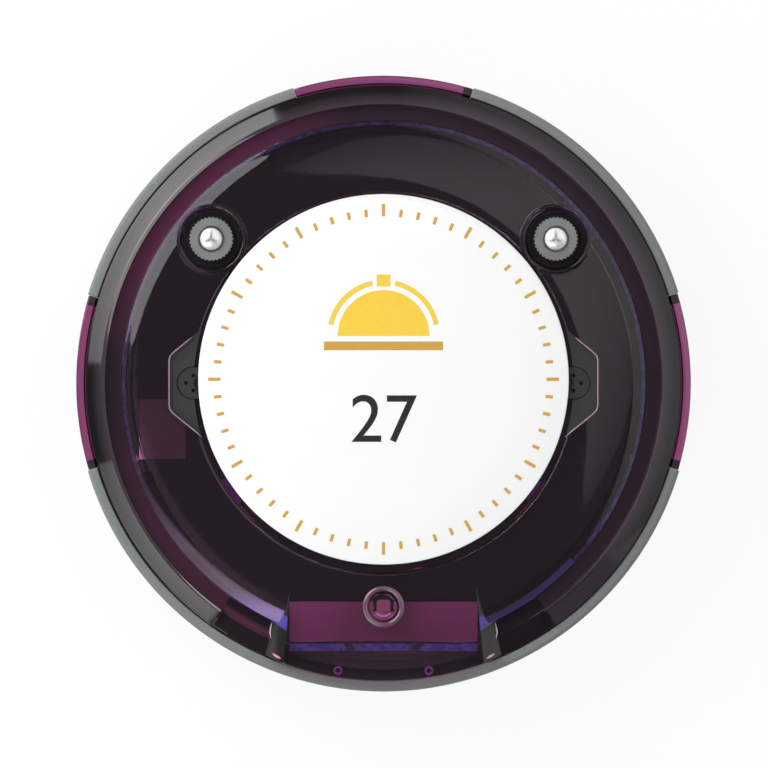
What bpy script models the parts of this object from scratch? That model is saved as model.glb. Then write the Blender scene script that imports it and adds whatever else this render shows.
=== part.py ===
"""Round guest pager, built as its separate pieces: shell, bumpers, contacts, key, board and motor.

Metres, +Z up. The origin is on the resting surface, under the middle of the pager. The number strip
faces -Y, which is the front.
"""

import math

import bmesh
import bpy
from mathutils import Vector

MM = 0.001

# Facets and clearances
TURN_STEPS = 48
SMALL_STEPS = 16
HOLE_STEPS = 12
TINY_STEPS = 8
GAP = 0.3 * MM
SOLDER_GAP = 0.1 * MM
OVERRUN = 1.0 * MM
BITE = 0.3 * MM
MERGE_DISTANCE = 0.0001 * MM

# Driving sizes of the whole pager
BUMPER_RADIUS = 50.0 * MM
BUMPER_THICKNESS = 1.6 * MM
FOOT_STAND = 1.2 * MM
BASE_RECESS = 2.4 * MM
WALL = 1.7 * MM
CASE_RADIUS = BUMPER_RADIUS - BUMPER_THICKNESS - GAP
INNER_WALL_RADIUS = CASE_RADIUS - 2 * WALL

# Rings of the top, from the rim inwards
SHOULDER_WIDTH = 3.15 * MM
GROOVE_WIDTH = 2.58 * MM
BEVEL_WIDTH = 2.27 * MM
DOME_WIDTH = 9.3 * MM
GROOVE_OUTER_RADIUS = CASE_RADIUS - SHOULDER_WIDTH
GROOVE_INNER_RADIUS = GROOVE_OUTER_RADIUS - GROOVE_WIDTH
BEVEL_START_RADIUS = GROOVE_INNER_RADIUS - BEVEL_WIDTH
RECESS_RADIUS = BEVEL_START_RADIUS - DOME_WIDTH

# Stack of heights, from the resting surface up
BATTERY_THICKNESS = 4.8 * MM
BATTERY_HEADROOM = 0.3 * MM
BOARD_THICKNESS = 1.0 * MM
COMPONENT_SPACE = 3.0 * MM
FRAME_THICKNESS = 1.4 * MM
BASE_Z = FOOT_STAND + BASE_RECESS
FLOOR_Z = BASE_Z + WALL
BATTERY_Z = FLOOR_Z + GAP
BOARD_Z = BATTERY_Z + BATTERY_THICKNESS + BATTERY_HEADROOM
BOARD_TOP_Z = BOARD_Z + BOARD_THICKNESS
PLATE_Z = BOARD_TOP_Z + COMPONENT_SPACE
FRAME_TOP_Z = PLATE_Z + FRAME_THICKNESS
UNDER_COVER_Z = FRAME_TOP_Z + GAP
RECESS_FLOOR_Z = UNDER_COVER_Z + WALL

# Label and its recess
LABEL_THICKNESS = 0.35 * MM
LABEL_OFFSET_Y = 0.6 * MM
LABEL_RADIUS = RECESS_RADIUS - LABEL_OFFSET_Y - GAP
RECESS_LIP = 0.25 * MM
DOME_Z = RECESS_FLOOR_Z + GAP + LABEL_THICKNESS + RECESS_LIP
EDGE_ROUND = 0.2 * MM

# Heights of the dome, the stacking groove and the shoulder
DOME_DROP = 0.9 * MM
BEVEL_DROP = 1.1 * MM
DOME_HEIGHT = 3.0 * MM
GROOVE_Z = DOME_Z - DOME_HEIGHT
SHOULDER_RISE = 1.3 * MM
SHOULDER_FALL = 1.7 * MM
SHOULDER_CROWN = 0.12 * MM
APRON_RISE = 0.3 * MM
APRON_SPAN = (235.0, 305.0)
SHOULDER_Z = GROOVE_Z + SHOULDER_RISE
EDGE_Z = SHOULDER_Z - SHOULDER_FALL
GROOVE_UNDER_Z = GROOVE_Z - WALL
DOME_CAVITY_RADIUS = BEVEL_START_RADIUS + GAP

# Joint between the shells: rebate for the bumper ribs, tongue and seal
RIB_THICKNESS = 0.8 * MM
RIB_DEPTH = 1.6 * MM
SKIRT_HEIGHT = 6.2 * MM
SKIRT_Z = EDGE_Z - SKIRT_HEIGHT
SHELF_Z = SKIRT_Z - GAP
REBATE_Z = SHELF_Z - RIB_THICKNESS - GAP
REBATE_RADIUS = CASE_RADIUS - RIB_DEPTH
SKIRT_INNER_RADIUS = CASE_RADIUS - WALL - GAP
TONGUE_HEIGHT = 1.9 * MM
TONGUE_TOP_Z = SHELF_Z + TONGUE_HEIGHT
TONGUE_RADIUS = SKIRT_INNER_RADIUS - GAP
SEAL_THICKNESS = 0.8 * MM
SEAL_Z = TONGUE_TOP_Z + GAP
SEAL_STEP_Z = SEAL_Z + SEAL_THICKNESS + GAP

# Bumpers and light windows, by their angles as the photo shows them
BUMPER_SPANS = {
    "bumper_top_left": (107.0, 163.4),
    "bumper_top_right": (17.0, 73.0),
    "bumper_bottom": (196.5, 343.5),
}
WINDOW_SPANS = {
    "light_window_top": (75.2, 106.4),
    "light_window_left": (165.0, 195.0),
    "light_window_right": (-15.0, 15.0),
}
PEG_ANGLES = {
    "bumper_top_left": (135,),
    "bumper_top_right": (45,),
    "bumper_bottom": (225, 261, 279, 315),
}
BUMPER_FOOT_RISE = 2.2 * MM
BUMPER_FOOT_Z = FOOT_STAND + BUMPER_FOOT_RISE
BUMPER_INSET = 0.2 * MM
BUMPER_ROUND = 0.7 * MM
WINDOW_INSET = 0.2 * MM
PEG_RADIUS = 0.35 * MM
PEG_HEIGHT = 1.5 * MM
PEG_CIRCLE_RADIUS = CASE_RADIUS - WALL / 2

# Rubber foot and the land that carries it
FOOT_WIDTH = 1.5 * MM
FOOT_SINK = 0.9 * MM
FOOT_INNER_RADIUS = GROOVE_INNER_RADIUS + (GROOVE_WIDTH - FOOT_WIDTH) / 2
FOOT_OUTER_RADIUS = FOOT_INNER_RADIUS + FOOT_WIDTH
LAND_MARGIN = 0.9 * MM
CHAMFER_RISE = 3.0 * MM

# Number strip, and the window pad and its pocket over it
STRIP_HALF_WIDTH = 15.15 * MM
STRIP_DEPTH = 6.45 * MM
STRIP_FRONT_INSET = 0.67 * MM
STRIP_THICKNESS = 0.6 * MM
STRIP_FRONT_Y = STRIP_FRONT_INSET - GROOVE_INNER_RADIUS
STRIP_BACK_Y = STRIP_FRONT_Y + STRIP_DEPTH
PAD_SIDE_MARGIN = 0.15 * MM
PAD_LEAD = 0.95 * MM
PAD_HALF_WIDTH = STRIP_HALF_WIDTH + PAD_SIDE_MARGIN
PAD_START_RADIUS = PAD_LEAD - STRIP_BACK_Y
PAD_SLOPE_SHARE = 1.0
PAD_SPLAY_SHARE = 0.1
POCKET_LEAD = 1.65 * MM
POCKET_BACK_Y = STRIP_BACK_Y - POCKET_LEAD
TRAY_THICKNESS = 0.5 * MM
TRAY_MARGIN = 0.3 * MM

# Light guide
GUIDE_WIDTH = 1.1 * MM
GUIDE_HEIGHT = 0.9 * MM
GUIDE_OUTER_RADIUS = GROOVE_INNER_RADIUS + GAP / 10
GUIDE_INNER_RADIUS = GUIDE_OUTER_RADIUS - GUIDE_WIDTH
GUIDE_TOP_Z = GROOVE_UNDER_Z - GAP
GUIDE_BAR_WIDTH = 1.5 * MM
GUIDE_BAR_Y = STRIP_FRONT_Y - GUIDE_BAR_WIDTH
GUIDE_ELBOW_WIDTH = 1.2 * MM

# Charging contacts
PIN_RADIUS = 1.8 * MM
PIN_TRAVEL = 0.9 * MM
PIN_PROUD = 1.1 * MM
COLLAR_WIDTH = 0.4 * MM
COLLAR_HEIGHT = 1.0 * MM
LIP_HEIGHT = 2.0 * MM
SLEEVE_WALL = 0.45 * MM
SLEEVE_LENGTH = 5.2 * MM
SLEEVE_BORE_RADIUS = PIN_RADIUS + COLLAR_WIDTH + GAP
SLEEVE_RADIUS = SLEEVE_BORE_RADIUS + SLEEVE_WALL
BUSH_FLANGE_WIDTH = 0.63 * MM
BUSH_RADIUS = SLEEVE_RADIUS + BUSH_FLANGE_WIDTH
BUSH_THICKNESS = 0.7 * MM
SEAL_RING_WIDTH = 1.43 * MM
SEAL_RING_HEIGHT = 0.5 * MM
SEAL_RING_RADIUS = SLEEVE_RADIUS + GAP + SEAL_RING_WIDTH
WELL_RADIUS = SEAL_RING_RADIUS + GAP
WELL_RIM_WIDTH = 0.64 * MM
CONTACT_ANGLE = 39.9
CONTACT_EDGE_MARGIN = 0.51 * MM
CONTACT_CIRCLE_RADIUS = GROOVE_INNER_RADIUS - CONTACT_EDGE_MARGIN - WELL_RADIUS - WELL_RIM_WIDTH
WELL_DEPTH = 1.5 * MM
WELL_RIM_Z = DOME_Z - DOME_DROP / 2
WELL_FLOOR_Z = WELL_RIM_Z - WELL_DEPTH
KNURL_TEETH = 34
KNURL_DEPTH = 0.22 * MM
TAIL_RADIUS = 0.9 * MM
SEAT_RADIUS = 2.2 * MM
SEAT_HEIGHT = 0.3 * MM
SPRING_WIRE = 0.36 * MM
SPRING_TURNS = 3
SPRING_POINTS_PER_TURN = 10
STUD_RADIUS = 3.2 * MM
STUD_PROUD = 0.2 * MM
STUD_THICKNESS = 0.6 * MM
STUD_STEM_RADIUS = 1.0 * MM

# Push key
KEY_SET_BACK = 0.85 * MM
KEY_Y = STRIP_BACK_Y - KEY_SET_BACK
KEY_RADIUS = 2.2 * MM
KEY_DISH = 0.25 * MM
KEY_TRAVEL = 0.4 * MM
KEY_FLANGE_WIDTH = 0.7 * MM
KEY_FLANGE_HEIGHT = 0.6 * MM
KEY_STEM_RADIUS = 1.4 * MM
GUARD_WIDTH = 0.9 * MM
GUARD_RISE = 0.5 * MM
SWITCH_SIDE = 4.5 * MM
SWITCH_HEIGHT = 1.6 * MM
PLUNGER_RADIUS = 1.0 * MM
PLUNGER_PROUD = 0.7 * MM
PLUNGER_SINK = 0.5 * MM

# Sound holes in their lugs
VENT_INSET = 0.1 * MM
VENT_X = RECESS_RADIUS - VENT_INSET
LUG_LENGTH = 4.0 * MM
LUG_HALF_HEIGHT = 4.2 * MM
LUG_ROOT_HALF_HEIGHT = 9.5 * MM
LUG_ROOT_SINK = 2.3 * MM
LUG_END_X = RECESS_RADIUS + LUG_LENGTH
LUG_ROOT_X = RECESS_RADIUS - LUG_ROOT_SINK
VENT_DISC_RADIUS = 2.7 * MM
VENT_DISC_DEPTH = 0.3 * MM
VENT_HOLE_RADIUS = 0.33 * MM
VENT_HOLE_CIRCLE = 1.2 * MM
MEMBRANE_RADIUS = 2.5 * MM
MEMBRANE_THICKNESS = 0.5 * MM
VENT_PORT_RADIUS = 1.6 * MM

# Screws and their bosses
SCREW_INSET = 3.9 * MM
SCREW_CIRCLE_RADIUS = LABEL_RADIUS - SCREW_INSET
SCREW_ANGLES = (45, 135, 225, 315)
SCREW_RADIUS = 1.0 * MM
SCREW_HEAD_RADIUS = 2.1 * MM
SCREW_HEAD_HEIGHT = 1.3 * MM
SCREW_HEAD_INSET = 0.3 * MM
SCREW_SLOT_WIDTH = 0.6 * MM
SCREW_SLOT_LENGTH = 2.6 * MM
SCREW_SLOT_DEPTH = 0.7 * MM
BOSS_WALL = 1.1 * MM
HEAD_BOSS_RADIUS = SCREW_HEAD_RADIUS + GAP + BOSS_WALL

# Board and what is on it
BOARD_EDGE_GAP = 1.9 * MM
BOARD_RADIUS = INNER_WALL_RADIUS - BOARD_EDGE_GAP
LED_LENGTH = 1.6 * MM
LED_WIDTH = 0.8 * MM
LED_HEIGHT = 0.8 * MM
LED_ANGLES = {"led_top": 90, "led_left": 180, "led_right": 0, "led_number": 270}
CHIP_BEVEL = 0.12 * MM
MAIN_CHIP_SIZE = (7.0 * MM, 7.0 * MM, 1.0 * MM)
MAIN_CHIP_PLACE_SHARES = (0.117, 0.21)
RADIO_CHIP_SIZE = (4.0 * MM, 4.0 * MM, 0.9 * MM)
RADIO_CHIP_PLACE_SHARES = (-0.187, 0.14)
CRYSTAL_SIZE = (5.0 * MM, 3.2 * MM, 1.1 * MM)
CRYSTAL_PLACE_SHARES = (-0.187, 0.304)
BUZZER_RADIUS = 4.3 * MM
BUZZER_HEIGHT = 2.4 * MM
BUZZER_PORT_RADIUS = 1.1 * MM
BUZZER_PORT_DEPTH = 0.8 * MM
FRAME_SKIRT_WIDTH = 1.2 * MM

# Antenna coil
ANTENNA_PLACE_SHARES = (-0.374, -0.093)
ANTENNA_COIL_RADIUS = 0.95 * MM
ANTENNA_WIRE = 0.45 * MM
ANTENNA_PITCH = 0.95 * MM
ANTENNA_TURNS = 5
ANTENNA_POINTS_PER_TURN = 8

# Battery, its leads and its ribs
BATTERY_END_INSET = 7.0 * MM
BATTERY_SIDE_CLEARANCE = 0.385 * MM
BATTERY_LENGTH = 2 * (SCREW_CIRCLE_RADIUS - BATTERY_END_INSET)
BATTERY_WIDTH = 2 * (SCREW_CIRCLE_RADIUS / math.sqrt(2) - HEAD_BOSS_RADIUS - BATTERY_SIDE_CLEARANCE)
BATTERY_BEVEL = 1.0 * MM
BATTERY_RIB_LENGTH = 14.0 * MM
BATTERY_RIB_THICKNESS = 1.0 * MM
BATTERY_RIB_HEIGHT = 2.2 * MM
SOCKET_SIZE = (6.0 * MM, 4.0 * MM, 2.6 * MM)
SOCKET_CLEARANCE = 6.0 * MM
LEAD_RADIUS = 0.45 * MM
LEAD_SPACING = 2.2 * MM
LEAD_POINTS = 9

# Vibration motor, lying along Y in its boot at the left
MOTOR_EDGE_INSET = 7.25 * MM
MOTOR_X = MOTOR_EDGE_INSET - BOARD_RADIUS
MOTOR_BACK_Y = -3.1 * MM
MOTOR_LENGTH = 6.4 * MM
MOTOR_RADIUS = 2.0 * MM
MOTOR_RISE = 0.7 * MM
MOTOR_Z = BOARD_TOP_Z + MOTOR_RISE
BOOT_WALL = 0.85 * MM
BOOT_LENGTH = 5.6 * MM
BOOT_SET_BACK = 0.4 * MM
SHAFT_RADIUS = 0.4 * MM
SHAFT_LENGTH = 3.2 * MM
SHAFT_SINK = 0.9 * MM
SHAFT_BEARING_DEPTH = 1.2 * MM
WEIGHT_RADIUS = 1.9 * MM
WEIGHT_LENGTH = 1.6 * MM
WEIGHT_SET_OFF = 0.5 * MM
WEIGHT_SPAN = 200.0
MOTOR_WINDOW_MARGIN = 0.4 * MM
MOTOR_POST_WIDTH = 3.0 * MM
MOTOR_LEAD_RADIUS = 0.3 * MM
MOTOR_LEAD_SPACING = 1.6 * MM
MOTOR_LEAD_REACH = 3.4 * MM


def dome_height(radius):
    """Height of the dome's outer surface at a radius, between the recess and the bevel."""
    share = (radius - RECESS_RADIUS) / (BEVEL_START_RADIUS - RECESS_RADIUS)
    return DOME_Z - DOME_DROP * share * share


PAD_Z = dome_height(PAD_START_RADIUS)


def pad_half_width(y):
    """Half width of the pad's flat top, which splays out towards the rim."""
    return PAD_HALF_WIDTH + (-PAD_START_RADIUS - y) * PAD_SPLAY_SHARE


def pad_foot_half_width():
    """Half width of the pad's foot at the rim, where it meets the level of the groove."""
    return pad_half_width(-CASE_RADIUS) + (PAD_Z - GROOVE_Z) * PAD_SLOPE_SHARE


def polar(radius, degrees):
    """Point at a radius and an angle counted from +X."""
    angle = math.radians(degrees)
    return radius * math.cos(angle), radius * math.sin(angle)


def arc(radius, start, end, step=360 / TURN_STEPS):
    """Points along an arc, ends included."""
    count = max(1, round(abs(end - start) / step))
    return [polar(radius, start + (end - start) * i / count) for i in range(count + 1)]


def material(name, colour, roughness, metallic=0.0, transmission=0.0):
    """Principled material with one colour."""
    made = bpy.data.materials.new(name)
    made.use_nodes = True
    shader = made.node_tree.nodes["Principled BSDF"]
    shader.inputs["Base Color"].default_value = (*colour, 1.0)
    shader.inputs["Roughness"].default_value = roughness
    shader.inputs["Metallic"].default_value = metallic
    shader.inputs["Transmission Weight"].default_value = transmission
    made.diffuse_color = (*colour, 1.0)
    return made


def piece(name, shape, finish=None):
    """Object made from a bmesh, shaded smooth with sharp edges kept."""
    bmesh.ops.recalc_face_normals(shape, faces=shape.faces)
    mesh = bpy.data.meshes.new(name)
    shape.to_mesh(mesh)
    shape.free()
    mesh.shade_smooth()
    mesh.set_sharp_from_angle(angle=math.radians(35))
    made = bpy.data.objects.new(name, mesh)
    bpy.context.scene.collection.objects.link(made)
    if finish:
        mesh.materials.append(finish)
    return made


def guide(name, shape):
    """Object that only cuts or shapes another one."""
    made = piece(name, shape)
    made.hide_render = True
    made.display_type = "WIRE"
    return made


def combine(target, others, operation="DIFFERENCE"):
    """Exact Boolean of the target with each of the others in turn."""
    for other in others:
        modifier = target.modifiers.new(other.name, "BOOLEAN")
        modifier.operation = operation
        modifier.solver = "EXACT"
        modifier.object = other


def turned(profile, centre=(0.0, 0.0), steps=TURN_STEPS):
    """Full turn of a profile of radii and heights, closed on the axis or as a ring."""
    shape = bmesh.new()
    points = [shape.verts.new((radius, 0.0, height)) for radius, height in profile]
    pairs = list(zip(points, points[1:]))
    if min(radius for radius, height in profile) > 0:
        pairs.append((points[-1], points[0]))
    edges = [shape.edges.new(pair) for pair in pairs]
    bmesh.ops.spin(
        shape, geom=points + edges, axis=(0, 0, 1), cent=(0, 0, 0),
        angle=math.tau, steps=steps, use_merge=True,
    )
    bmesh.ops.remove_doubles(shape, verts=shape.verts, dist=MERGE_DISTANCE)
    join_flat_ends(shape)
    bmesh.ops.translate(shape, verts=shape.verts, vec=(*centre, 0.0))
    return shape


def join_flat_ends(shape):
    """Make one face of the triangles that meet in the middle of each flat end."""
    middles = [
        vertex for vertex in shape.verts
        if vertex.co.xy.length < MERGE_DISTANCE and all(
            abs(edge.other_vert(vertex).co.z - vertex.co.z) < MERGE_DISTANCE
            for edge in vertex.link_edges
        )
    ]
    bmesh.ops.dissolve_verts(shape, verts=middles)


def swept(profile, start, end):
    """Part turn of a profile between two angles in degrees, with flat ends."""
    shape = bmesh.new()
    begin = math.radians(start)
    points = [
        shape.verts.new((radius * math.cos(begin), radius * math.sin(begin), height))
        for radius, height in profile
    ]
    face = shape.faces.new(points)
    bmesh.ops.spin(
        shape, geom=[face, *face.edges, *points], axis=(0, 0, 1), cent=(0, 0, 0),
        angle=math.radians(end - start), steps=max(2, round((end - start) * TURN_STEPS / 360)),
    )
    return shape


def prism(outline, low, high):
    """Outline in the XY plane, extruded between two heights."""
    shape = bmesh.new()
    face = shape.faces.new([shape.verts.new((x, y, low)) for x, y in outline])
    top = bmesh.ops.extrude_face_region(shape, geom=[face])["geom"]
    moved = [item for item in top if isinstance(item, bmesh.types.BMVert)]
    bmesh.ops.translate(shape, verts=moved, vec=(0, 0, high - low))
    return shape


def disc(radius, low, high, centre=(0.0, 0.0), steps=SMALL_STEPS):
    """Upright cylinder."""
    return turned([(0.0, low), (radius, low), (radius, high), (0.0, high)], centre, steps)


def block(low, high):
    """Box between two corners."""
    outline = [(low[0], low[1]), (high[0], low[1]), (high[0], high[1]), (low[0], high[1])]
    return prism(outline, low[2], high[2])


def centred_block(size, place, low):
    """Box of a size standing at a height over a place."""
    half_x, half_y = size[0] / 2, size[1] / 2
    return block(
        (place[0] - half_x, place[1] - half_y, low),
        (place[0] + half_x, place[1] + half_y, low + size[2]),
    )


def lay_along_y(shape, place):
    """Turn a shape whose axis is +Z to lie along -Y, and put its origin at a place."""
    for vertex in shape.verts:
        x, y, z = vertex.co
        vertex.co = Vector((x, -z, y)) + Vector(place)
    return shape


def bevelled(target, width):
    """Small bevel on the sharp edges of a piece."""
    modifier = target.modifiers.new("edge", "BEVEL")
    modifier.width = width
    modifier.segments = 1
    modifier.limit_method = "ANGLE"


def tube(name, points, radius, finish, resolution=1):
    """Round tube through a list of points, with filled ends."""
    curve = bpy.data.curves.new(name, "CURVE")
    curve.dimensions = "3D"
    curve.bevel_depth = radius
    curve.bevel_resolution = resolution
    curve.use_fill_caps = True
    spline = curve.splines.new("POLY")
    spline.points.add(len(points) - 1)
    for target, point in zip(spline.points, points):
        target.co = (*point, 1.0)
    curve.materials.append(finish)
    made = bpy.data.objects.new(name, curve)
    bpy.context.scene.collection.objects.link(made)
    return made


def bezier(start, start_pull, end_pull, end, count):
    """Points read from one smooth curve between two ends."""
    points = []
    for i in range(count):
        t = i / (count - 1)
        points.append(
            Vector(start) * (1 - t) ** 3 + Vector(start_pull) * 3 * t * (1 - t) ** 2
            + Vector(end_pull) * 3 * t * t * (1 - t) + Vector(end) * t ** 3
        )
    return points


def helix(radius, pitch, turns, per_turn):
    """Points of a helix about +Z that starts at height zero."""
    return [
        Vector((*polar(radius, 360 * i / per_turn), pitch * i / per_turn))
        for i in range(turns * per_turn + 1)
    ]


def least_gap(points, per_turn, wire):
    """Least gap of a wound wire to itself, measured between points a half turn or more apart."""
    apart = [
        (points[i] - points[j]).length
        for i in range(len(points))
        for j in range(i + per_turn // 2 + 1, len(points))
    ]
    return min(apart) - wire


def bevel_points():
    """Bevel that falls from the dome, and the wall below it down to the groove."""
    low = dome_height(BEVEL_START_RADIUS) - BEVEL_DROP
    return [
        (GROOVE_INNER_RADIUS - EDGE_ROUND, low), (GROOVE_INNER_RADIUS, low - EDGE_ROUND),
        (GROOVE_INNER_RADIUS, GROOVE_Z),
    ]


def screw_places():
    return [polar(SCREW_CIRCLE_RADIUS, angle) for angle in SCREW_ANGLES]


def contact_places():
    return {
        "left": polar(CONTACT_CIRCLE_RADIUS, 180 - CONTACT_ANGLE),
        "right": polar(CONTACT_CIRCLE_RADIUS, CONTACT_ANGLE),
    }


def board_place(shares):
    """Place on the board, from its shares of the board's radius."""
    return BOARD_RADIUS * shares[0], BOARD_RADIUS * shares[1]


def make_finishes():
    """Colours and gloss as the photo shows them."""
    return {
        "shell": material("magenta clear plastic", (0.17, 0.03, 0.10), 0.12, transmission=0.6),
        "window": material("magenta light window", (0.32, 0.06, 0.20), 0.2, transmission=0.6),
        "bumper": material("grey bumper rubber", (0.20, 0.22, 0.21), 0.6),
        "frame": material("black inner plastic", (0.012, 0.011, 0.012), 0.45),
        "label": material("white label", (0.9, 0.9, 0.9), 0.4),
        "strip": material("pale number strip", (0.75, 0.72, 0.75), 0.5),
        "guide": material("violet light guide", (0.12, 0.06, 0.40), 0.3),
        "chrome": material("chrome", (0.85, 0.85, 0.87), 0.08, 1.0),
        "bush": material("knurled steel", (0.28, 0.28, 0.29), 0.4, 1.0),
        "steel": material("spring steel", (0.55, 0.55, 0.57), 0.3, 1.0),
        "brass": material("brass", (0.70, 0.52, 0.24), 0.3, 1.0),
        "rubber": material("black rubber", (0.015, 0.015, 0.015), 0.7),
        "board": material("green board", (0.02, 0.12, 0.05), 0.4),
        "chip": material("black chip", (0.02, 0.02, 0.022), 0.4),
        "copper": material("copper wire", (0.72, 0.36, 0.20), 0.3, 1.0),
        "foil": material("battery foil", (0.62, 0.64, 0.66), 0.35, 0.8),
        "socket": material("pale socket plastic", (0.80, 0.78, 0.70), 0.45),
        "red": material("red lead", (0.60, 0.03, 0.03), 0.45),
        "black": material("black lead", (0.02, 0.02, 0.02), 0.45),
        "led": material("led lens", (0.85, 0.80, 0.65), 0.25),
        "membrane": material("white membrane", (0.82, 0.82, 0.82), 0.7),
    }


def cover_profile():
    """Section of the cover, from the middle of the recess over the rim and back under it."""
    shoulder_mid = (GROOVE_OUTER_RADIUS + CASE_RADIUS) / 2
    shoulder_mid_z = (SHOULDER_Z + EDGE_Z) / 2 + SHOULDER_CROWN
    dome_shares = (0.5, 1.0)
    dome_radii = [
        RECESS_RADIUS + (BEVEL_START_RADIUS - RECESS_RADIUS) * share for share in dome_shares
    ]
    return [
        (0.0, RECESS_FLOOR_Z),
        (RECESS_RADIUS, RECESS_FLOOR_Z),
        (RECESS_RADIUS, DOME_Z - EDGE_ROUND),
        (RECESS_RADIUS + EDGE_ROUND, DOME_Z),
        *[(radius, dome_height(radius)) for radius in dome_radii],
        *bevel_points(),
        (GROOVE_OUTER_RADIUS, GROOVE_Z),
        (GROOVE_OUTER_RADIUS, SHOULDER_Z - EDGE_ROUND),
        (GROOVE_OUTER_RADIUS + EDGE_ROUND, SHOULDER_Z),
        (shoulder_mid, shoulder_mid_z),
        (CASE_RADIUS - EDGE_ROUND, EDGE_Z),
        (CASE_RADIUS, EDGE_Z - EDGE_ROUND),
        (CASE_RADIUS, SKIRT_Z),
        (SKIRT_INNER_RADIUS, SKIRT_Z),
        (SKIRT_INNER_RADIUS, SEAL_STEP_Z),
        (INNER_WALL_RADIUS, SEAL_STEP_Z),
        (INNER_WALL_RADIUS, GROOVE_UNDER_Z),
        (DOME_CAVITY_RADIUS, GROOVE_UNDER_Z),
        (DOME_CAVITY_RADIUS, UNDER_COVER_Z),
        (0.0, UNDER_COVER_Z),
    ]


def apron_guide():
    """Room over the flat apron, where the shoulder stops at both sides of the window pad."""
    inner = GROOVE_OUTER_RADIUS - GROOVE_WIDTH / 2
    return guide("apron room", swept([
        (inner, GROOVE_Z + APRON_RISE), (CASE_RADIUS + OVERRUN, EDGE_Z),
        (CASE_RADIUS + OVERRUN, SHOULDER_Z + OVERRUN), (inner, SHOULDER_Z + OVERRUN),
    ], *APRON_SPAN))


def pad_guide():
    """Flat window pad with sloping sides, trimmed to the cover's own space."""
    foot_extra = (PAD_Z - GROOVE_UNDER_Z) * PAD_SLOPE_SHARE
    front, back = -CASE_RADIUS - OVERRUN, -RECESS_RADIUS
    shape = bmesh.new()
    ends = []
    for y in (back, front):
        half = pad_half_width(y)
        section = [
            (-half - foot_extra, GROOVE_UNDER_Z), (half + foot_extra, GROOVE_UNDER_Z),
            (half, PAD_Z), (-half, PAD_Z),
        ]
        ends.append(shape.faces.new([shape.verts.new((x, y, z)) for x, z in section]))
    edges = [edge for end in ends for edge in end.edges]
    bmesh.ops.bridge_loops(shape, edges=edges)
    pad = guide("pad shape", shape)
    space = turned([
        (RECESS_RADIUS + EDGE_ROUND, UNDER_COVER_Z + BITE),
        (BEVEL_START_RADIUS + BITE * 2, UNDER_COVER_Z + BITE),
        (BEVEL_START_RADIUS + BITE * 2, GROOVE_UNDER_Z + BITE),
        (CASE_RADIUS, GROOVE_UNDER_Z + BITE),
        (CASE_RADIUS, PAD_Z + OVERRUN),
        (RECESS_RADIUS + EDGE_ROUND, PAD_Z + OVERRUN),
    ])
    combine(pad, [guide("pad space", space)], "INTERSECT")
    return pad


def lug_outline(side):
    """Hexagonal end of the label recess at one side."""
    shoulder_x = LUG_ROOT_X + (LUG_END_X - LUG_ROOT_X) / 2
    shoulder_half = (LUG_HALF_HEIGHT + LUG_ROOT_HALF_HEIGHT) / 2
    points = [
        (LUG_ROOT_X, -LUG_ROOT_HALF_HEIGHT),
        (shoulder_x, -shoulder_half),
        (LUG_END_X, -LUG_HALF_HEIGHT),
        (LUG_END_X, LUG_HALF_HEIGHT),
        (shoulder_x, shoulder_half),
        (LUG_ROOT_X, LUG_ROOT_HALF_HEIGHT),
    ]
    return [(side * x, y) for x, y in points]


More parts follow.
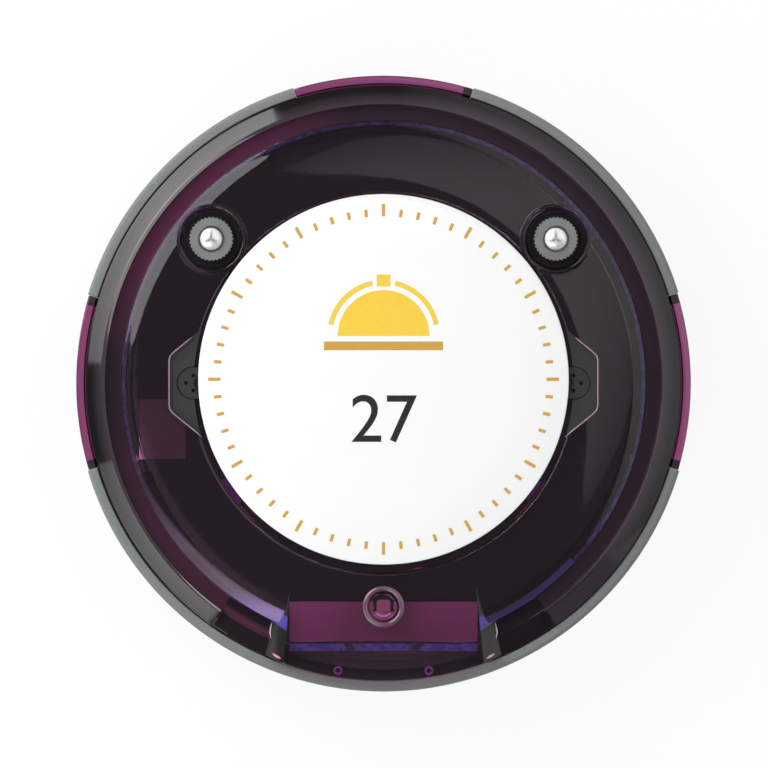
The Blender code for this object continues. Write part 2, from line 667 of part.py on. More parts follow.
def make_cover(finish):
    """Clear shell with its wells, pad, guard ring and bosses."""
    cover = piece("top_cover", turned(cover_profile()), finish)
    added = [pad_guide()]
    cuts = []
    for side, place in contact_places().items():
        rim = WELL_RADIUS + WELL_RIM_WIDTH
        low = UNDER_COVER_Z + BITE
        hole = SLEEVE_RADIUS + GAP
        added.append(guide(f"well wall {side}", turned([
            (0.0, low), (rim, low), (rim, WELL_RIM_Z - EDGE_ROUND),
            (rim - EDGE_ROUND, WELL_RIM_Z), (0.0, WELL_RIM_Z),
        ], place, 2 * HOLE_STEPS)))
        cuts.append(guide(f"well {side}", turned([
            (0.0, UNDER_COVER_Z - OVERRUN), (hole, UNDER_COVER_Z - OVERRUN), (hole, WELL_FLOOR_Z),
            (WELL_RADIUS, WELL_FLOOR_Z), (WELL_RADIUS, DOME_Z + OVERRUN), (0.0, DOME_Z + OVERRUN),
        ], place, 2 * HOLE_STEPS)))
    key_hole = KEY_RADIUS + GAP
    guard = key_hole + GUARD_WIDTH
    added.append(guide("key guard", turned([
        (0.0, UNDER_COVER_Z + BITE), (guard, UNDER_COVER_Z + BITE), (guard, PAD_Z + GUARD_RISE / 2),
        (guard - GUARD_WIDTH / 4, PAD_Z + GUARD_RISE), (guard - GUARD_WIDTH / 2, PAD_Z + GUARD_RISE),
        (guard - GUARD_WIDTH * 3 / 4, PAD_Z + GUARD_RISE / 2), (0.0, PAD_Z + GUARD_RISE / 2),
    ], (0.0, KEY_Y), 2 * HOLE_STEPS)))
    cuts.append(guide("key hole", disc(
        key_hole, UNDER_COVER_Z - OVERRUN, PAD_Z + OVERRUN, (0.0, KEY_Y), 2 * HOLE_STEPS,
    )))
    pilot = SCREW_RADIUS + GAP
    for number, place in enumerate(screw_places(), 1):
        added.append(guide(f"cover boss {number}", disc(
            pilot + BOSS_WALL, BOARD_TOP_Z + GAP, UNDER_COVER_Z + BITE, place,
        )))
        cuts.append(guide(f"boss pilot {number}", disc(
            pilot, BOARD_TOP_Z - OVERRUN, UNDER_COVER_Z - BITE, place, HOLE_STEPS,
        )))
    for side in (-1, 1):
        cuts.append(guide(f"lug {side}", prism(lug_outline(side), RECESS_FLOOR_Z, DOME_Z + OVERRUN)))
        cuts.append(guide(f"vent disc {side}", disc(
            VENT_DISC_RADIUS, RECESS_FLOOR_Z - VENT_DISC_DEPTH, DOME_Z, (side * VENT_X, 0.0),
        )))
        for angle in (0, 90, 180, 270):
            x, y = polar(VENT_HOLE_CIRCLE, angle)
            cuts.append(guide(f"vent hole {side} {angle}", disc(
                VENT_HOLE_RADIUS, UNDER_COVER_Z - OVERRUN, DOME_Z, (side * VENT_X + x, y), TINY_STEPS,
            )))
    pocket_half = STRIP_HALF_WIDTH + 2 * GAP
    cuts.append(guide("pad pocket", block(
        (-pocket_half, GUIDE_BAR_Y - GAP, GUIDE_TOP_Z - GUIDE_HEIGHT - GAP),
        (pocket_half, POCKET_BACK_Y, UNDER_COVER_Z - SOLDER_GAP),
    )))
    for angles in PEG_ANGLES.values():
        for angle in angles:
            cuts.append(guide(f"peg hole {angle}", disc(
                PEG_RADIUS + GAP, SKIRT_Z - OVERRUN, SHELF_Z + PEG_HEIGHT + GAP,
                polar(PEG_CIRCLE_RADIUS, angle), TINY_STEPS,
            )))
    combine(cover, [apron_guide()])
    combine(cover, added, "UNION")
    combine(cover, cuts)


def make_case(finish):
    """Dish with its outer wall, tongue, foot groove, bosses, ribs and motor post."""
    foot_ceiling = FOOT_STAND + FOOT_SINK + GAP
    channel_inner = FOOT_INNER_RADIUS - LAND_MARGIN
    channel_z = foot_ceiling + WALL
    land_inner = FOOT_INNER_RADIUS - GAP - LAND_MARGIN
    land_outer = FOOT_OUTER_RADIUS + GAP + LAND_MARGIN / 3
    case = piece("bottom_case", turned([
        (0.0, BASE_Z),
        (land_inner - LAND_MARGIN / 2, BASE_Z),
        (land_inner, FOOT_STAND),
        (FOOT_INNER_RADIUS - GAP, FOOT_STAND),
        (FOOT_INNER_RADIUS - GAP, foot_ceiling),
        (FOOT_OUTER_RADIUS + GAP, foot_ceiling),
        (FOOT_OUTER_RADIUS + GAP, FOOT_STAND),
        (land_outer, FOOT_STAND),
        (CASE_RADIUS, FOOT_STAND + CHAMFER_RISE),
        (CASE_RADIUS, REBATE_Z),
        (REBATE_RADIUS, REBATE_Z),
        (REBATE_RADIUS, SHELF_Z),
        (TONGUE_RADIUS, SHELF_Z),
        (TONGUE_RADIUS, TONGUE_TOP_Z),
        (INNER_WALL_RADIUS, TONGUE_TOP_Z),
        (INNER_WALL_RADIUS, channel_z),
        (channel_inner, channel_z),
        (channel_inner, FLOOR_Z),
        (0.0, FLOOR_Z),
    ]), finish)
    added, cuts = [], []
    head_hole = SCREW_HEAD_RADIUS + GAP
    head_seat_z = BASE_Z + SCREW_HEAD_INSET + SCREW_HEAD_HEIGHT + GAP
    for number, place in enumerate(screw_places(), 1):
        added.append(guide(f"case boss {number}", disc(
            HEAD_BOSS_RADIUS, FLOOR_Z - BITE, BOARD_Z - GAP, place,
        )))
        cuts.append(guide(f"screw hole {number}", turned([
            (0.0, BASE_Z - OVERRUN), (head_hole, BASE_Z - OVERRUN), (head_hole, head_seat_z),
            (SCREW_RADIUS + GAP, head_seat_z), (SCREW_RADIUS + GAP, BOARD_Z + OVERRUN),
            (0.0, BOARD_Z + OVERRUN),
        ], place, SMALL_STEPS)))
    for end in (-1, 1):
        near = end * (BATTERY_LENGTH / 2 + GAP)
        far = near + end * BATTERY_RIB_THICKNESS
        added.append(guide(f"battery rib {end}", block(
            (-BATTERY_RIB_LENGTH / 2, min(near, far), FLOOR_Z - BITE),
            (BATTERY_RIB_LENGTH / 2, max(near, far), FLOOR_Z + BATTERY_RIB_HEIGHT),
        )))
    boot_back = MOTOR_BACK_Y - BOOT_SET_BACK
    added.append(guide("motor post", block(
        (MOTOR_X - MOTOR_POST_WIDTH / 2, boot_back - BOOT_LENGTH, FLOOR_Z - BITE),
        (MOTOR_X + MOTOR_POST_WIDTH / 2, boot_back, boot_low_z() - GAP),
    )))
    for side, place in contact_places().items():
        ceiling = BASE_Z - STUD_PROUD + STUD_THICKNESS + GAP
        cuts.append(guide(f"stud hole {side}", turned([
            (0.0, BASE_Z - OVERRUN), (STUD_RADIUS + GAP, BASE_Z - OVERRUN), (STUD_RADIUS + GAP, ceiling),
            (STUD_STEM_RADIUS + GAP, ceiling), (STUD_STEM_RADIUS + GAP, FLOOR_Z + OVERRUN),
            (0.0, FLOOR_Z + OVERRUN),
        ], place, SMALL_STEPS)))
    notch_half = pad_foot_half_width() + GAP
    cuts.append(guide("pad notch", block(
        (-notch_half, -CASE_RADIUS - OVERRUN, FOOT_STAND - OVERRUN),
        (notch_half, -PAD_START_RADIUS, FOOT_STAND + SHOULDER_RISE),
    )))
    combine(case, added, "UNION")
    combine(case, cuts)


def make_case_seal(finish):
    """Rubber ring squeezed between the tongue and the cover."""
    inner, outer = INNER_WALL_RADIUS, TONGUE_RADIUS
    piece("case_seal", turned([
        (inner, SEAL_Z), (outer, SEAL_Z),
        (outer, SEAL_Z + SEAL_THICKNESS), (inner, SEAL_Z + SEAL_THICKNESS),
    ]), finish)


def rim_profile(outer, low, high, round_width):
    """Section of a rim segment with the rib that the shells hold."""
    inner = CASE_RADIUS + GAP
    rib_inner = CASE_RADIUS - RIB_DEPTH + GAP
    return [
        (inner, high),
        (outer - round_width, high),
        (outer - round_width / 4, high - round_width / 2),
        (outer, high - round_width * 3 / 2),
        (outer, low + round_width * 3 / 2),
        (outer - round_width / 2, low + round_width / 4),
        (outer - round_width, low),
        (inner, low),
        (inner, SHELF_Z - RIB_THICKNESS),
        (rib_inner, SHELF_Z - RIB_THICKNESS),
        (rib_inner, SHELF_Z),
        (inner, SHELF_Z),
    ]


def make_rim(bumper_finish, window_finish):
    """Three grey bumpers and three clear windows round the case."""
    top = EDGE_Z - BUMPER_INSET
    profile = rim_profile(BUMPER_RADIUS, BUMPER_FOOT_Z, top, BUMPER_ROUND)
    for name, (start, end) in BUMPER_SPANS.items():
        bumper = piece(name, swept(profile, start, end), bumper_finish)
        pegs = [
            guide(f"peg {angle}", disc(
                PEG_RADIUS, SHELF_Z - BITE, SHELF_Z + PEG_HEIGHT, polar(PEG_CIRCLE_RADIUS, angle),
                TINY_STEPS,
            ))
            for angle in PEG_ANGLES[name]
        ]
        combine(bumper, pegs, "UNION")
    profile = rim_profile(
        BUMPER_RADIUS - WINDOW_INSET, BUMPER_FOOT_Z + WINDOW_INSET, top - WINDOW_INSET, BUMPER_ROUND / 2,
    )
    for name, (start, end) in WINDOW_SPANS.items():
        piece(name, swept(profile, start, end), window_finish)


def make_foot(finish):
    """C-shaped rubber foot, open in front under the window pad."""
    opening = math.degrees(math.asin((pad_foot_half_width() + 2 * GAP) / FOOT_INNER_RADIUS))
    high = FOOT_STAND + FOOT_SINK
    profile = [
        (FOOT_INNER_RADIUS, high), (FOOT_INNER_RADIUS, EDGE_ROUND),
        (FOOT_INNER_RADIUS + EDGE_ROUND, 0.0), (FOOT_OUTER_RADIUS - EDGE_ROUND, 0.0),
        (FOOT_OUTER_RADIUS, EDGE_ROUND), (FOOT_OUTER_RADIUS, high),
    ]
    piece("foot_ring", swept(profile, -90 + opening, 270 - opening), finish)


def make_label(finish):
    """White round label."""
    low = RECESS_FLOOR_Z + GAP
    piece("label_disc", disc(
        LABEL_RADIUS, low, low + LABEL_THICKNESS, (0.0, LABEL_OFFSET_Y), TURN_STEPS,
    ), finish)


def boot_low_z():
    return MOTOR_Z - MOTOR_RADIUS - GAP - BOOT_WALL


def make_contacts(finishes):
    """Bush, seal, plunger, spring and seat at each side, with the stud under the case."""
    head_low = WELL_FLOOR_Z + SEAL_RING_HEIGHT + 2 * GAP
    head_top = head_low + BUSH_THICKNESS
    pin_top = head_top + PIN_PROUD
    lip_z = head_top - LIP_HEIGHT
    collar_top = lip_z - GAP
    collar_low = collar_top - COLLAR_HEIGHT
    seat_top = BOARD_TOP_Z + SOLDER_GAP + SEAT_HEIGHT
    tail_low = seat_top + PIN_TRAVEL + GAP
    for side, place in contact_places().items():
        teeth = []
        for tooth in range(2 * KNURL_TEETH):
            radius = BUSH_RADIUS - KNURL_DEPTH * (tooth % 2)
            x, y = polar(radius, 180 * tooth / KNURL_TEETH)
            teeth.append((place[0] + x, place[1] + y))
        bush = piece(f"contact_bush_{side}", prism(teeth, head_low, head_top), finishes["bush"])
        combine(bush, [guide(f"sleeve {side}", disc(
            SLEEVE_RADIUS, head_top - SLEEVE_LENGTH, head_top - BUSH_THICKNESS / 2, place,
        ))], "UNION")
        combine(bush, [
            guide(f"pin bore {side}", disc(PIN_RADIUS + GAP, lip_z - OVERRUN, head_top + OVERRUN, place)),
            guide(f"collar bore {side}", disc(
                SLEEVE_BORE_RADIUS, head_top - SLEEVE_LENGTH - OVERRUN, lip_z, place,
            )),
        ])
        ring_low = WELL_FLOOR_Z + GAP
        ring_inner, ring_outer = SLEEVE_RADIUS + GAP, SEAL_RING_RADIUS
        piece(f"contact_seal_{side}", turned([
            (ring_inner, ring_low), (ring_outer, ring_low),
            (ring_outer, ring_low + SEAL_RING_HEIGHT), (ring_inner, ring_low + SEAL_RING_HEIGHT),
        ], place, SMALL_STEPS + SMALL_STEPS // 2), finishes["rubber"])
        dome = [(0.0, pin_top)]
        for share in (0.35, 0.7, 1.0):
            angle = math.pi / 2 * share
            dome.append((PIN_RADIUS * math.sin(angle), pin_top - PIN_PROUD * (1 - math.cos(angle))))
        pin = piece(f"contact_pin_{side}", turned([
            *dome,
            (PIN_RADIUS, collar_top), (PIN_RADIUS + COLLAR_WIDTH, collar_top),
            (PIN_RADIUS + COLLAR_WIDTH, collar_low), (TAIL_RADIUS, collar_low),
            (TAIL_RADIUS, tail_low), (0.0, tail_low),
        ], place, SMALL_STEPS), finishes["chrome"])
        put_origin(pin, (*place, collar_low))
        spring_low = seat_top + GAP / 2 + SPRING_WIRE / 2
        spring_high = collar_low - GAP / 2 - SPRING_WIRE / 2
        pitch = (spring_high - spring_low) / SPRING_TURNS
        spring_radius = PIN_RADIUS - SPRING_WIRE / 2
        coil = helix(spring_radius, pitch, SPRING_TURNS, SPRING_POINTS_PER_TURN)
        if side == "left":
            gap = least_gap(coil, SPRING_POINTS_PER_TURN, SPRING_WIRE)
            print(f"contact spring least gap {gap / MM:.2f} mm")
        points = [point + Vector((*place, spring_low)) for point in coil]
        tube(f"contact_spring_{side}", points, SPRING_WIRE / 2, finishes["steel"])
        piece(f"contact_seat_{side}", disc(
            SEAT_RADIUS, BOARD_TOP_Z + SOLDER_GAP, seat_top, place,
        ), finishes["brass"])
        stud_low = BASE_Z - STUD_PROUD
        stem_z = stud_low + STUD_THICKNESS
        piece(f"base_contact_{side}", turned([
            (0.0, stud_low), (STUD_RADIUS, stud_low), (STUD_RADIUS, stem_z),
            (STUD_STEM_RADIUS, stem_z), (STUD_STEM_RADIUS, BOARD_Z - SOLDER_GAP),
            (0.0, BOARD_Z - SOLDER_GAP),
        ], place, SMALL_STEPS), finishes["brass"])


def put_origin(target, place):
    """Move an object's origin to a place without moving its shape."""
    for vertex in target.data.vertices:
        vertex.co -= Vector(place)
    target.location = place


def make_key(finishes):
    """Push cap with its flange and stem, and the switch under it."""
    cap_top = PAD_Z + GUARD_RISE / 2
    flange_top = UNDER_COVER_Z - GAP
    flange_low = flange_top - KEY_FLANGE_HEIGHT
    body_top = BOARD_TOP_Z + SOLDER_GAP + SWITCH_HEIGHT
    plunger_top = body_top + PLUNGER_PROUD
    stem_low = plunger_top + SOLDER_GAP
    flange = KEY_RADIUS + KEY_FLANGE_WIDTH
    key = piece("power_key", turned([
        (0.0, cap_top - KEY_DISH), (KEY_RADIUS / 2, cap_top - KEY_DISH * 3 / 4),
        (KEY_RADIUS - EDGE_ROUND, cap_top), (KEY_RADIUS, cap_top - EDGE_ROUND),
        (KEY_RADIUS, flange_top), (flange, flange_top), (flange, flange_low),
        (KEY_STEM_RADIUS, flange_low), (KEY_STEM_RADIUS, stem_low), (0.0, stem_low),
    ], (0.0, KEY_Y), SMALL_STEPS), finishes["shell"])
    put_origin(key, (0.0, KEY_Y, stem_low))
    well_z = body_top - PLUNGER_SINK - KEY_TRAVEL - GAP
    body = piece("key_switch", centred_block(
        (SWITCH_SIDE, SWITCH_SIDE, SWITCH_HEIGHT), (0.0, KEY_Y), BOARD_TOP_Z + SOLDER_GAP,
    ), finishes["chip"])
    combine(body, [guide("plunger well", disc(
        PLUNGER_RADIUS + GAP, well_z, body_top + OVERRUN, (0.0, KEY_Y),
    ))])
    plunger = piece("switch_plunger", disc(
        PLUNGER_RADIUS, body_top - PLUNGER_SINK, plunger_top, (0.0, KEY_Y),
    ), finishes["socket"])
    put_origin(plunger, (0.0, KEY_Y, body_top))


def frame_skirt_radius():
    return DOME_CAVITY_RADIUS - GAP


def make_frame(finish):
    """Black frame under the cover, with its flange, tray and windows."""
    outer = frame_skirt_radius()
    inner = outer - FRAME_SKIRT_WIDTH
    flange = GUIDE_INNER_RADIUS - GAP
    flange_low = GUIDE_TOP_Z - GUIDE_HEIGHT
    frame = piece("inner_frame", turned([
        (0.0, PLATE_Z), (inner, PLATE_Z), (inner, BOARD_TOP_Z + GAP),
        (outer, BOARD_TOP_Z + GAP), (outer, flange_low), (flange, flange_low),
        (flange, GUIDE_TOP_Z), (outer, GUIDE_TOP_Z), (outer, FRAME_TOP_Z), (0.0, FRAME_TOP_Z),
    ]), finish)
    tray_half = STRIP_HALF_WIDTH + TRAY_MARGIN
    tray_top = PLATE_Z + TRAY_THICKNESS
    combine(frame, [guide("tray", block(
        (-STRIP_HALF_WIDTH, STRIP_FRONT_Y + GAP, PLATE_Z - BITE),
        (STRIP_HALF_WIDTH, STRIP_BACK_Y - OVERRUN, tray_top),
    ))], "UNION")
    cuts = [guide("strip window", block(
        (-tray_half, -CASE_RADIUS, tray_top),
        (tray_half, STRIP_BACK_Y + GAP, FRAME_TOP_Z + OVERRUN),
    ))]
    for side, place in contact_places().items():
        cuts.append(guide(f"frame well {side}", disc(
            WELL_RADIUS + WELL_RIM_WIDTH + GAP, BOARD_TOP_Z, FRAME_TOP_Z + OVERRUN, place,
        )))
    for number, place in enumerate(screw_places(), 1):
        cuts.append(guide(f"frame boss hole {number}", disc(
            SCREW_RADIUS + 2 * GAP + BOSS_WALL, PLATE_Z - OVERRUN, FRAME_TOP_Z + OVERRUN, place,
        )))
    for side in (-1, 1):
        seat_z = FRAME_TOP_Z - MEMBRANE_THICKNESS - GAP
        seat = MEMBRANE_RADIUS + GAP
        cuts.append(guide(f"vent port {side}", turned([
            (0.0, PLATE_Z - OVERRUN), (VENT_PORT_RADIUS, PLATE_Z - OVERRUN), (VENT_PORT_RADIUS, seat_z),
            (seat, seat_z), (seat, FRAME_TOP_Z + OVERRUN), (0.0, FRAME_TOP_Z + OVERRUN),
        ], (side * VENT_X, 0.0), SMALL_STEPS)))
    cuts.append(guide("frame key hole", disc(
        KEY_RADIUS + KEY_FLANGE_WIDTH + GAP, PLATE_Z - OVERRUN, FRAME_TOP_Z + OVERRUN, (0.0, KEY_Y),
    )))
    low, high = motor_window()
    cuts.append(guide("frame motor window", block(
        (*low, BOARD_TOP_Z), (*high, FRAME_TOP_Z + OVERRUN),
    )))
    combine(frame, cuts)


def motor_window():
    """Plan of the opening over the motor, in the frame and in the board."""
    half = MOTOR_RADIUS + GAP + BOOT_WALL + MOTOR_WINDOW_MARGIN
    front = MOTOR_BACK_Y - MOTOR_LENGTH - SHAFT_LENGTH + SHAFT_SINK - MOTOR_WINDOW_MARGIN
    return (MOTOR_X - half, front), (MOTOR_X + half, MOTOR_BACK_Y + MOTOR_WINDOW_MARGIN)


def make_number_plate(finish):
    """Bare strip behind the window pad, notched round the key."""
    low = PLATE_Z + TRAY_THICKNESS + GAP
    strip = piece("number_plate", block(
        (-STRIP_HALF_WIDTH, STRIP_FRONT_Y, low), (STRIP_HALF_WIDTH, STRIP_BACK_Y, low + STRIP_THICKNESS),
    ), finish)
    combine(strip, [guide("strip notch", disc(
        KEY_RADIUS + KEY_FLANGE_WIDTH + GAP, low - OVERRUN, low + OVERRUN, (0.0, KEY_Y),
    ))])


def make_light_guide(finish):
    """Ring light pipe that runs straight along the number strip and rises there."""
    elbow = math.degrees(math.asin((STRIP_HALF_WIDTH + GUIDE_ELBOW_WIDTH) / GUIDE_OUTER_RADIUS))
    start, end = elbow - 90, 270 - elbow
    low = GUIDE_TOP_Z - GUIDE_HEIGHT
    corner = STRIP_HALF_WIDTH
    inner_corner = corner - GUIDE_WIDTH
    outer_path = arc(GUIDE_OUTER_RADIUS, start, end)
    outer_path += [(-corner, GUIDE_BAR_Y), (corner, GUIDE_BAR_Y)]
    inner_path = arc(GUIDE_INNER_RADIUS, start, end)
    inner_path += [(-inner_corner, STRIP_FRONT_Y), (inner_corner, STRIP_FRONT_Y)]
    ring = piece("light_guide", prism(outer_path, low, GUIDE_TOP_Z), finish)
    combine(ring, [guide("bar", block(
        (-corner, GUIDE_BAR_Y, low), (corner, STRIP_FRONT_Y - GAP, FRAME_TOP_Z),
    ))], "UNION")
    combine(ring, [guide("guide opening", prism(inner_path, low - OVERRUN, GUIDE_TOP_Z + OVERRUN))])


def make_board(finish):
    """Circuit board with its screw holes and the notch for the motor."""
    board = piece("circuit_board", disc(
        BOARD_RADIUS, BOARD_Z, BOARD_TOP_Z, steps=TURN_STEPS,
    ), finish)
    cuts = [
        guide(f"board hole {number}", disc(
            SCREW_RADIUS + GAP, BOARD_Z - OVERRUN, BOARD_TOP_Z + OVERRUN, place, HOLE_STEPS,
        ))
        for number, place in enumerate(screw_places(), 1)
    ]
    low, high = motor_window()
    cuts.append(guide("board motor notch", block(
        (low[0], low[1], BOARD_Z - OVERRUN), (high[0], high[1], BOARD_TOP_Z + OVERRUN),
    )))
    combine(board, cuts)


def make_board_parts(finishes):
    """Chips, crystal, lamps, buzzer and sound membranes."""
    seat = BOARD_TOP_Z + SOLDER_GAP
    chips = {
        "main_chip": (MAIN_CHIP_SIZE, MAIN_CHIP_PLACE_SHARES, "chip"),
        "radio_chip": (RADIO_CHIP_SIZE, RADIO_CHIP_PLACE_SHARES, "chip"),
        "crystal": (CRYSTAL_SIZE, CRYSTAL_PLACE_SHARES, "steel"),
    }
    for name, (size, shares, finish) in chips.items():
        chip = piece(name, centred_block(size, board_place(shares), seat), finishes[finish])
        bevelled(chip, CHIP_BEVEL)
    lamp_radius = (GUIDE_INNER_RADIUS + GUIDE_OUTER_RADIUS) / 2
    for name, angle in LED_ANGLES.items():
        along_x = angle in (90, 270)
        size = (LED_LENGTH, LED_WIDTH, LED_HEIGHT) if along_x else (LED_WIDTH, LED_LENGTH, LED_HEIGHT)
        bevelled(
            piece(name, centred_block(size, polar(lamp_radius, angle), seat), finishes["led"]),
            CHIP_BEVEL,
        )
    buzzer = piece("buzzer", disc(BUZZER_RADIUS, seat, seat + BUZZER_HEIGHT, (VENT_X, 0.0)), finishes["chip"])
    combine(buzzer, [guide("buzzer port", disc(
        BUZZER_PORT_RADIUS, seat + BUZZER_HEIGHT - BUZZER_PORT_DEPTH, seat + BUZZER_HEIGHT + OVERRUN,
        (VENT_X, 0.0),
    ))])
    for side, sign in (("left", -1), ("right", 1)):
        piece(f"vent_membrane_{side}", disc(
            MEMBRANE_RADIUS, FRAME_TOP_Z - MEMBRANE_THICKNESS, FRAME_TOP_Z, (sign * VENT_X, 0.0),
        ), finishes["membrane"])


def make_antenna(finish):
    """Coil antenna lying along X on two short legs."""
    leg_z = BOARD_TOP_Z + SOLDER_GAP
    axis_z = leg_z + ANTENNA_WIRE + ANTENNA_COIL_RADIUS
    coil = helix(ANTENNA_COIL_RADIUS, ANTENNA_PITCH, ANTENNA_TURNS, ANTENNA_POINTS_PER_TURN)
    gap = least_gap(coil, ANTENNA_POINTS_PER_TURN, ANTENNA_WIRE)
    print(f"antenna coil least gap {gap / MM:.2f} mm")
    place = board_place(ANTENNA_PLACE_SHARES)
    laid = [Vector((place[0] + p.z, place[1] + p.y, axis_z + p.x)) for p in coil]
    start, end = laid[0], laid[-1]
    step = Vector((ANTENNA_PITCH, 0, 0))
    legs_in = [Vector((start.x - step.x, start.y, leg_z)), start - step]
    legs_out = [end + step, Vector((end.x + step.x, end.y, leg_z))]
    tube("antenna", legs_in + laid + legs_out, ANTENNA_WIRE / 2, finish)


def make_battery(finishes):
    """Flat cell under the board, its socket and its two leads."""
    cell = piece("battery", centred_block(
        (BATTERY_WIDTH, BATTERY_LENGTH, BATTERY_THICKNESS), (0.0, 0.0), BATTERY_Z,
    ), finishes["foil"])
    bevelled(cell, BATTERY_BEVEL)
    socket_y = BATTERY_LENGTH / 2 + SOCKET_CLEARANCE + SOCKET_SIZE[1] / 2
    socket_low = BOARD_Z - SOLDER_GAP - SOCKET_SIZE[2]
    bevelled(piece("battery_socket", centred_block(
        SOCKET_SIZE, (0.0, socket_y), socket_low,
    ), finishes["socket"]), CHIP_BEVEL)
    lead_low = BATTERY_Z + BATTERY_THICKNESS * 3 / 4
    lead_high = socket_low + SOCKET_SIZE[2] / 2
    for name, sign, finish in (("red", 1, "red"), ("black", -1, "black")):
        x = sign * LEAD_SPACING / 2
        start = (x, BATTERY_LENGTH / 2 + GAP, lead_low)
        end = (x, socket_y - SOCKET_SIZE[1] / 2 - GAP, lead_high)
        pull = SOCKET_CLEARANCE / 2
        path = bezier(
            start, (x * 2, start[1] + pull, lead_low), (x * 2, end[1] - pull, lead_high), end, LEAD_POINTS,
        )
        tube(f"battery_lead_{name}", path, LEAD_RADIUS, finishes[finish], 2)


def make_motor(finishes):
    """Vibration motor in its rubber boot, with the shaft and the eccentric weight."""
    can = piece("vibration_motor", lay_along_y(
        disc(MOTOR_RADIUS, 0.0, MOTOR_LENGTH), (MOTOR_X, MOTOR_BACK_Y, MOTOR_Z),
    ), finishes["steel"])
    end_y = MOTOR_BACK_Y - MOTOR_LENGTH
    combine(can, [guide("motor bearing", lay_along_y(
        disc(SHAFT_RADIUS + GAP, -SHAFT_BEARING_DEPTH, OVERRUN), (MOTOR_X, end_y, MOTOR_Z),
    ))])
    boot_back = MOTOR_BACK_Y - BOOT_SET_BACK
    half = MOTOR_RADIUS + GAP + BOOT_WALL
    boot = piece("motor_boot", block(
        (MOTOR_X - half, boot_back - BOOT_LENGTH, boot_low_z()),
        (MOTOR_X + half, boot_back, MOTOR_Z + half),
    ), finishes["rubber"])
    bevelled(boot, BOOT_WALL / 2)
    combine(boot, [guide("boot bore", lay_along_y(
        disc(MOTOR_RADIUS + GAP, -OVERRUN, BOOT_LENGTH + OVERRUN), (MOTOR_X, boot_back, MOTOR_Z),
    ))])
    shaft_start = end_y + SHAFT_SINK
    shaft = piece("motor_shaft", lay_along_y(
        disc(SHAFT_RADIUS, 0.0, SHAFT_LENGTH, steps=TINY_STEPS * 2), (MOTOR_X, shaft_start, MOTOR_Z),
    ), finishes["steel"])
    put_origin(shaft, (MOTOR_X, end_y, MOTOR_Z))
    start = 270 - WEIGHT_SPAN / 2
    outline = [(0.0, 0.0), *arc(WEIGHT_RADIUS, start, start + WEIGHT_SPAN, WEIGHT_SPAN / SMALL_STEPS * 2)]
    weight = piece("motor_weight", lay_along_y(
        prism(outline, 0.0, WEIGHT_LENGTH), (MOTOR_X, end_y - WEIGHT_SET_OFF, MOTOR_Z),
    ), finishes["brass"])
    combine(weight, [guide("weight bore", lay_along_y(
        disc(SHAFT_RADIUS + GAP / 3, -OVERRUN, WEIGHT_LENGTH + OVERRUN, steps=TINY_STEPS * 2),
        (MOTOR_X, end_y - WEIGHT_SET_OFF, MOTOR_Z),
    ))])
    put_origin(weight, (MOTOR_X, end_y, MOTOR_Z))
    pad_x = motor_window()[1][0] + MOTOR_LEAD_REACH / 2
    for name, sign in (("red", 1), ("black", -1)):
        offset = sign * MOTOR_LEAD_SPACING / 2
        start = (MOTOR_X + offset, MOTOR_BACK_Y + GAP, MOTOR_Z)
        end = (pad_x, MOTOR_BACK_Y + MOTOR_LEAD_REACH - offset, BOARD_TOP_Z + SOLDER_GAP + MOTOR_LEAD_RADIUS)
        path = bezier(
            start, (start[0], start[1] + MOTOR_LEAD_REACH / 2, start[2]),
            (start[0] + MOTOR_LEAD_REACH / 2, end[1], end[2] + MOTOR_LEAD_RADIUS * 2), end, LEAD_POINTS,
        )
        tube(f"motor_lead_{name}", path, MOTOR_LEAD_RADIUS, finishes[name], 2)


def make_screws(finish):
    """Four screws from below, through the case and the board into the cover."""
    low = BASE_Z + SCREW_HEAD_INSET
    seat = low + SCREW_HEAD_HEIGHT
    tip = UNDER_COVER_Z - BITE - GAP
    for number, place in enumerate(screw_places(), 1):
        screw = piece(f"case_screw_{number}", turned([
            (0.0, low), (SCREW_HEAD_RADIUS - EDGE_ROUND, low), (SCREW_HEAD_RADIUS, low + EDGE_ROUND),
            (SCREW_HEAD_RADIUS, seat), (SCREW_RADIUS, seat), (SCREW_RADIUS, tip - SCREW_RADIUS),
            (0.0, tip),
        ], place, SMALL_STEPS), finish)
        half_long, half_wide = SCREW_SLOT_LENGTH / 2, SCREW_SLOT_WIDTH / 2
        slots = []
        for name, half_x, half_y in (("along", half_long, half_wide), ("across", half_wide, half_long)):
            slots.append(guide(f"slot {number} {name}", block(
                (place[0] - half_x, place[1] - half_y, low - OVERRUN),
                (place[0] + half_x, place[1] + half_y, low + SCREW_SLOT_DEPTH),
            )))
        combine(screw, slots)


def build_pager():
    for old in list(bpy.data.objects):
        bpy.data.objects.remove(old, do_unlink=True)
    finishes = make_finishes()
    make_cover(finishes["shell"])
    make_case(finishes["shell"])
    make_case_seal(finishes["rubber"])
    make_rim(finishes["bumper"], finishes["window"])
    make_foot(finishes["rubber"])
    make_label(finishes["label"])
    make_contacts(finishes)
    make_key(finishes)
    make_frame(finishes["frame"])
    make_number_plate(finishes["strip"])
    make_light_guide(finishes["guide"])
    make_board(finishes["board"])
    make_board_parts(finishes)
    make_antenna(finishes["copper"])
    make_battery(finishes)
    make_motor(finishes)
    make_screws(finishes["steel"])


build_pager()
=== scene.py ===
"""Dresses the round guest pager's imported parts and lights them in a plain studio.

Every piece is modelled in millimetres on the part's own axes: +Z up, the number strip facing -Y.
"""

import math

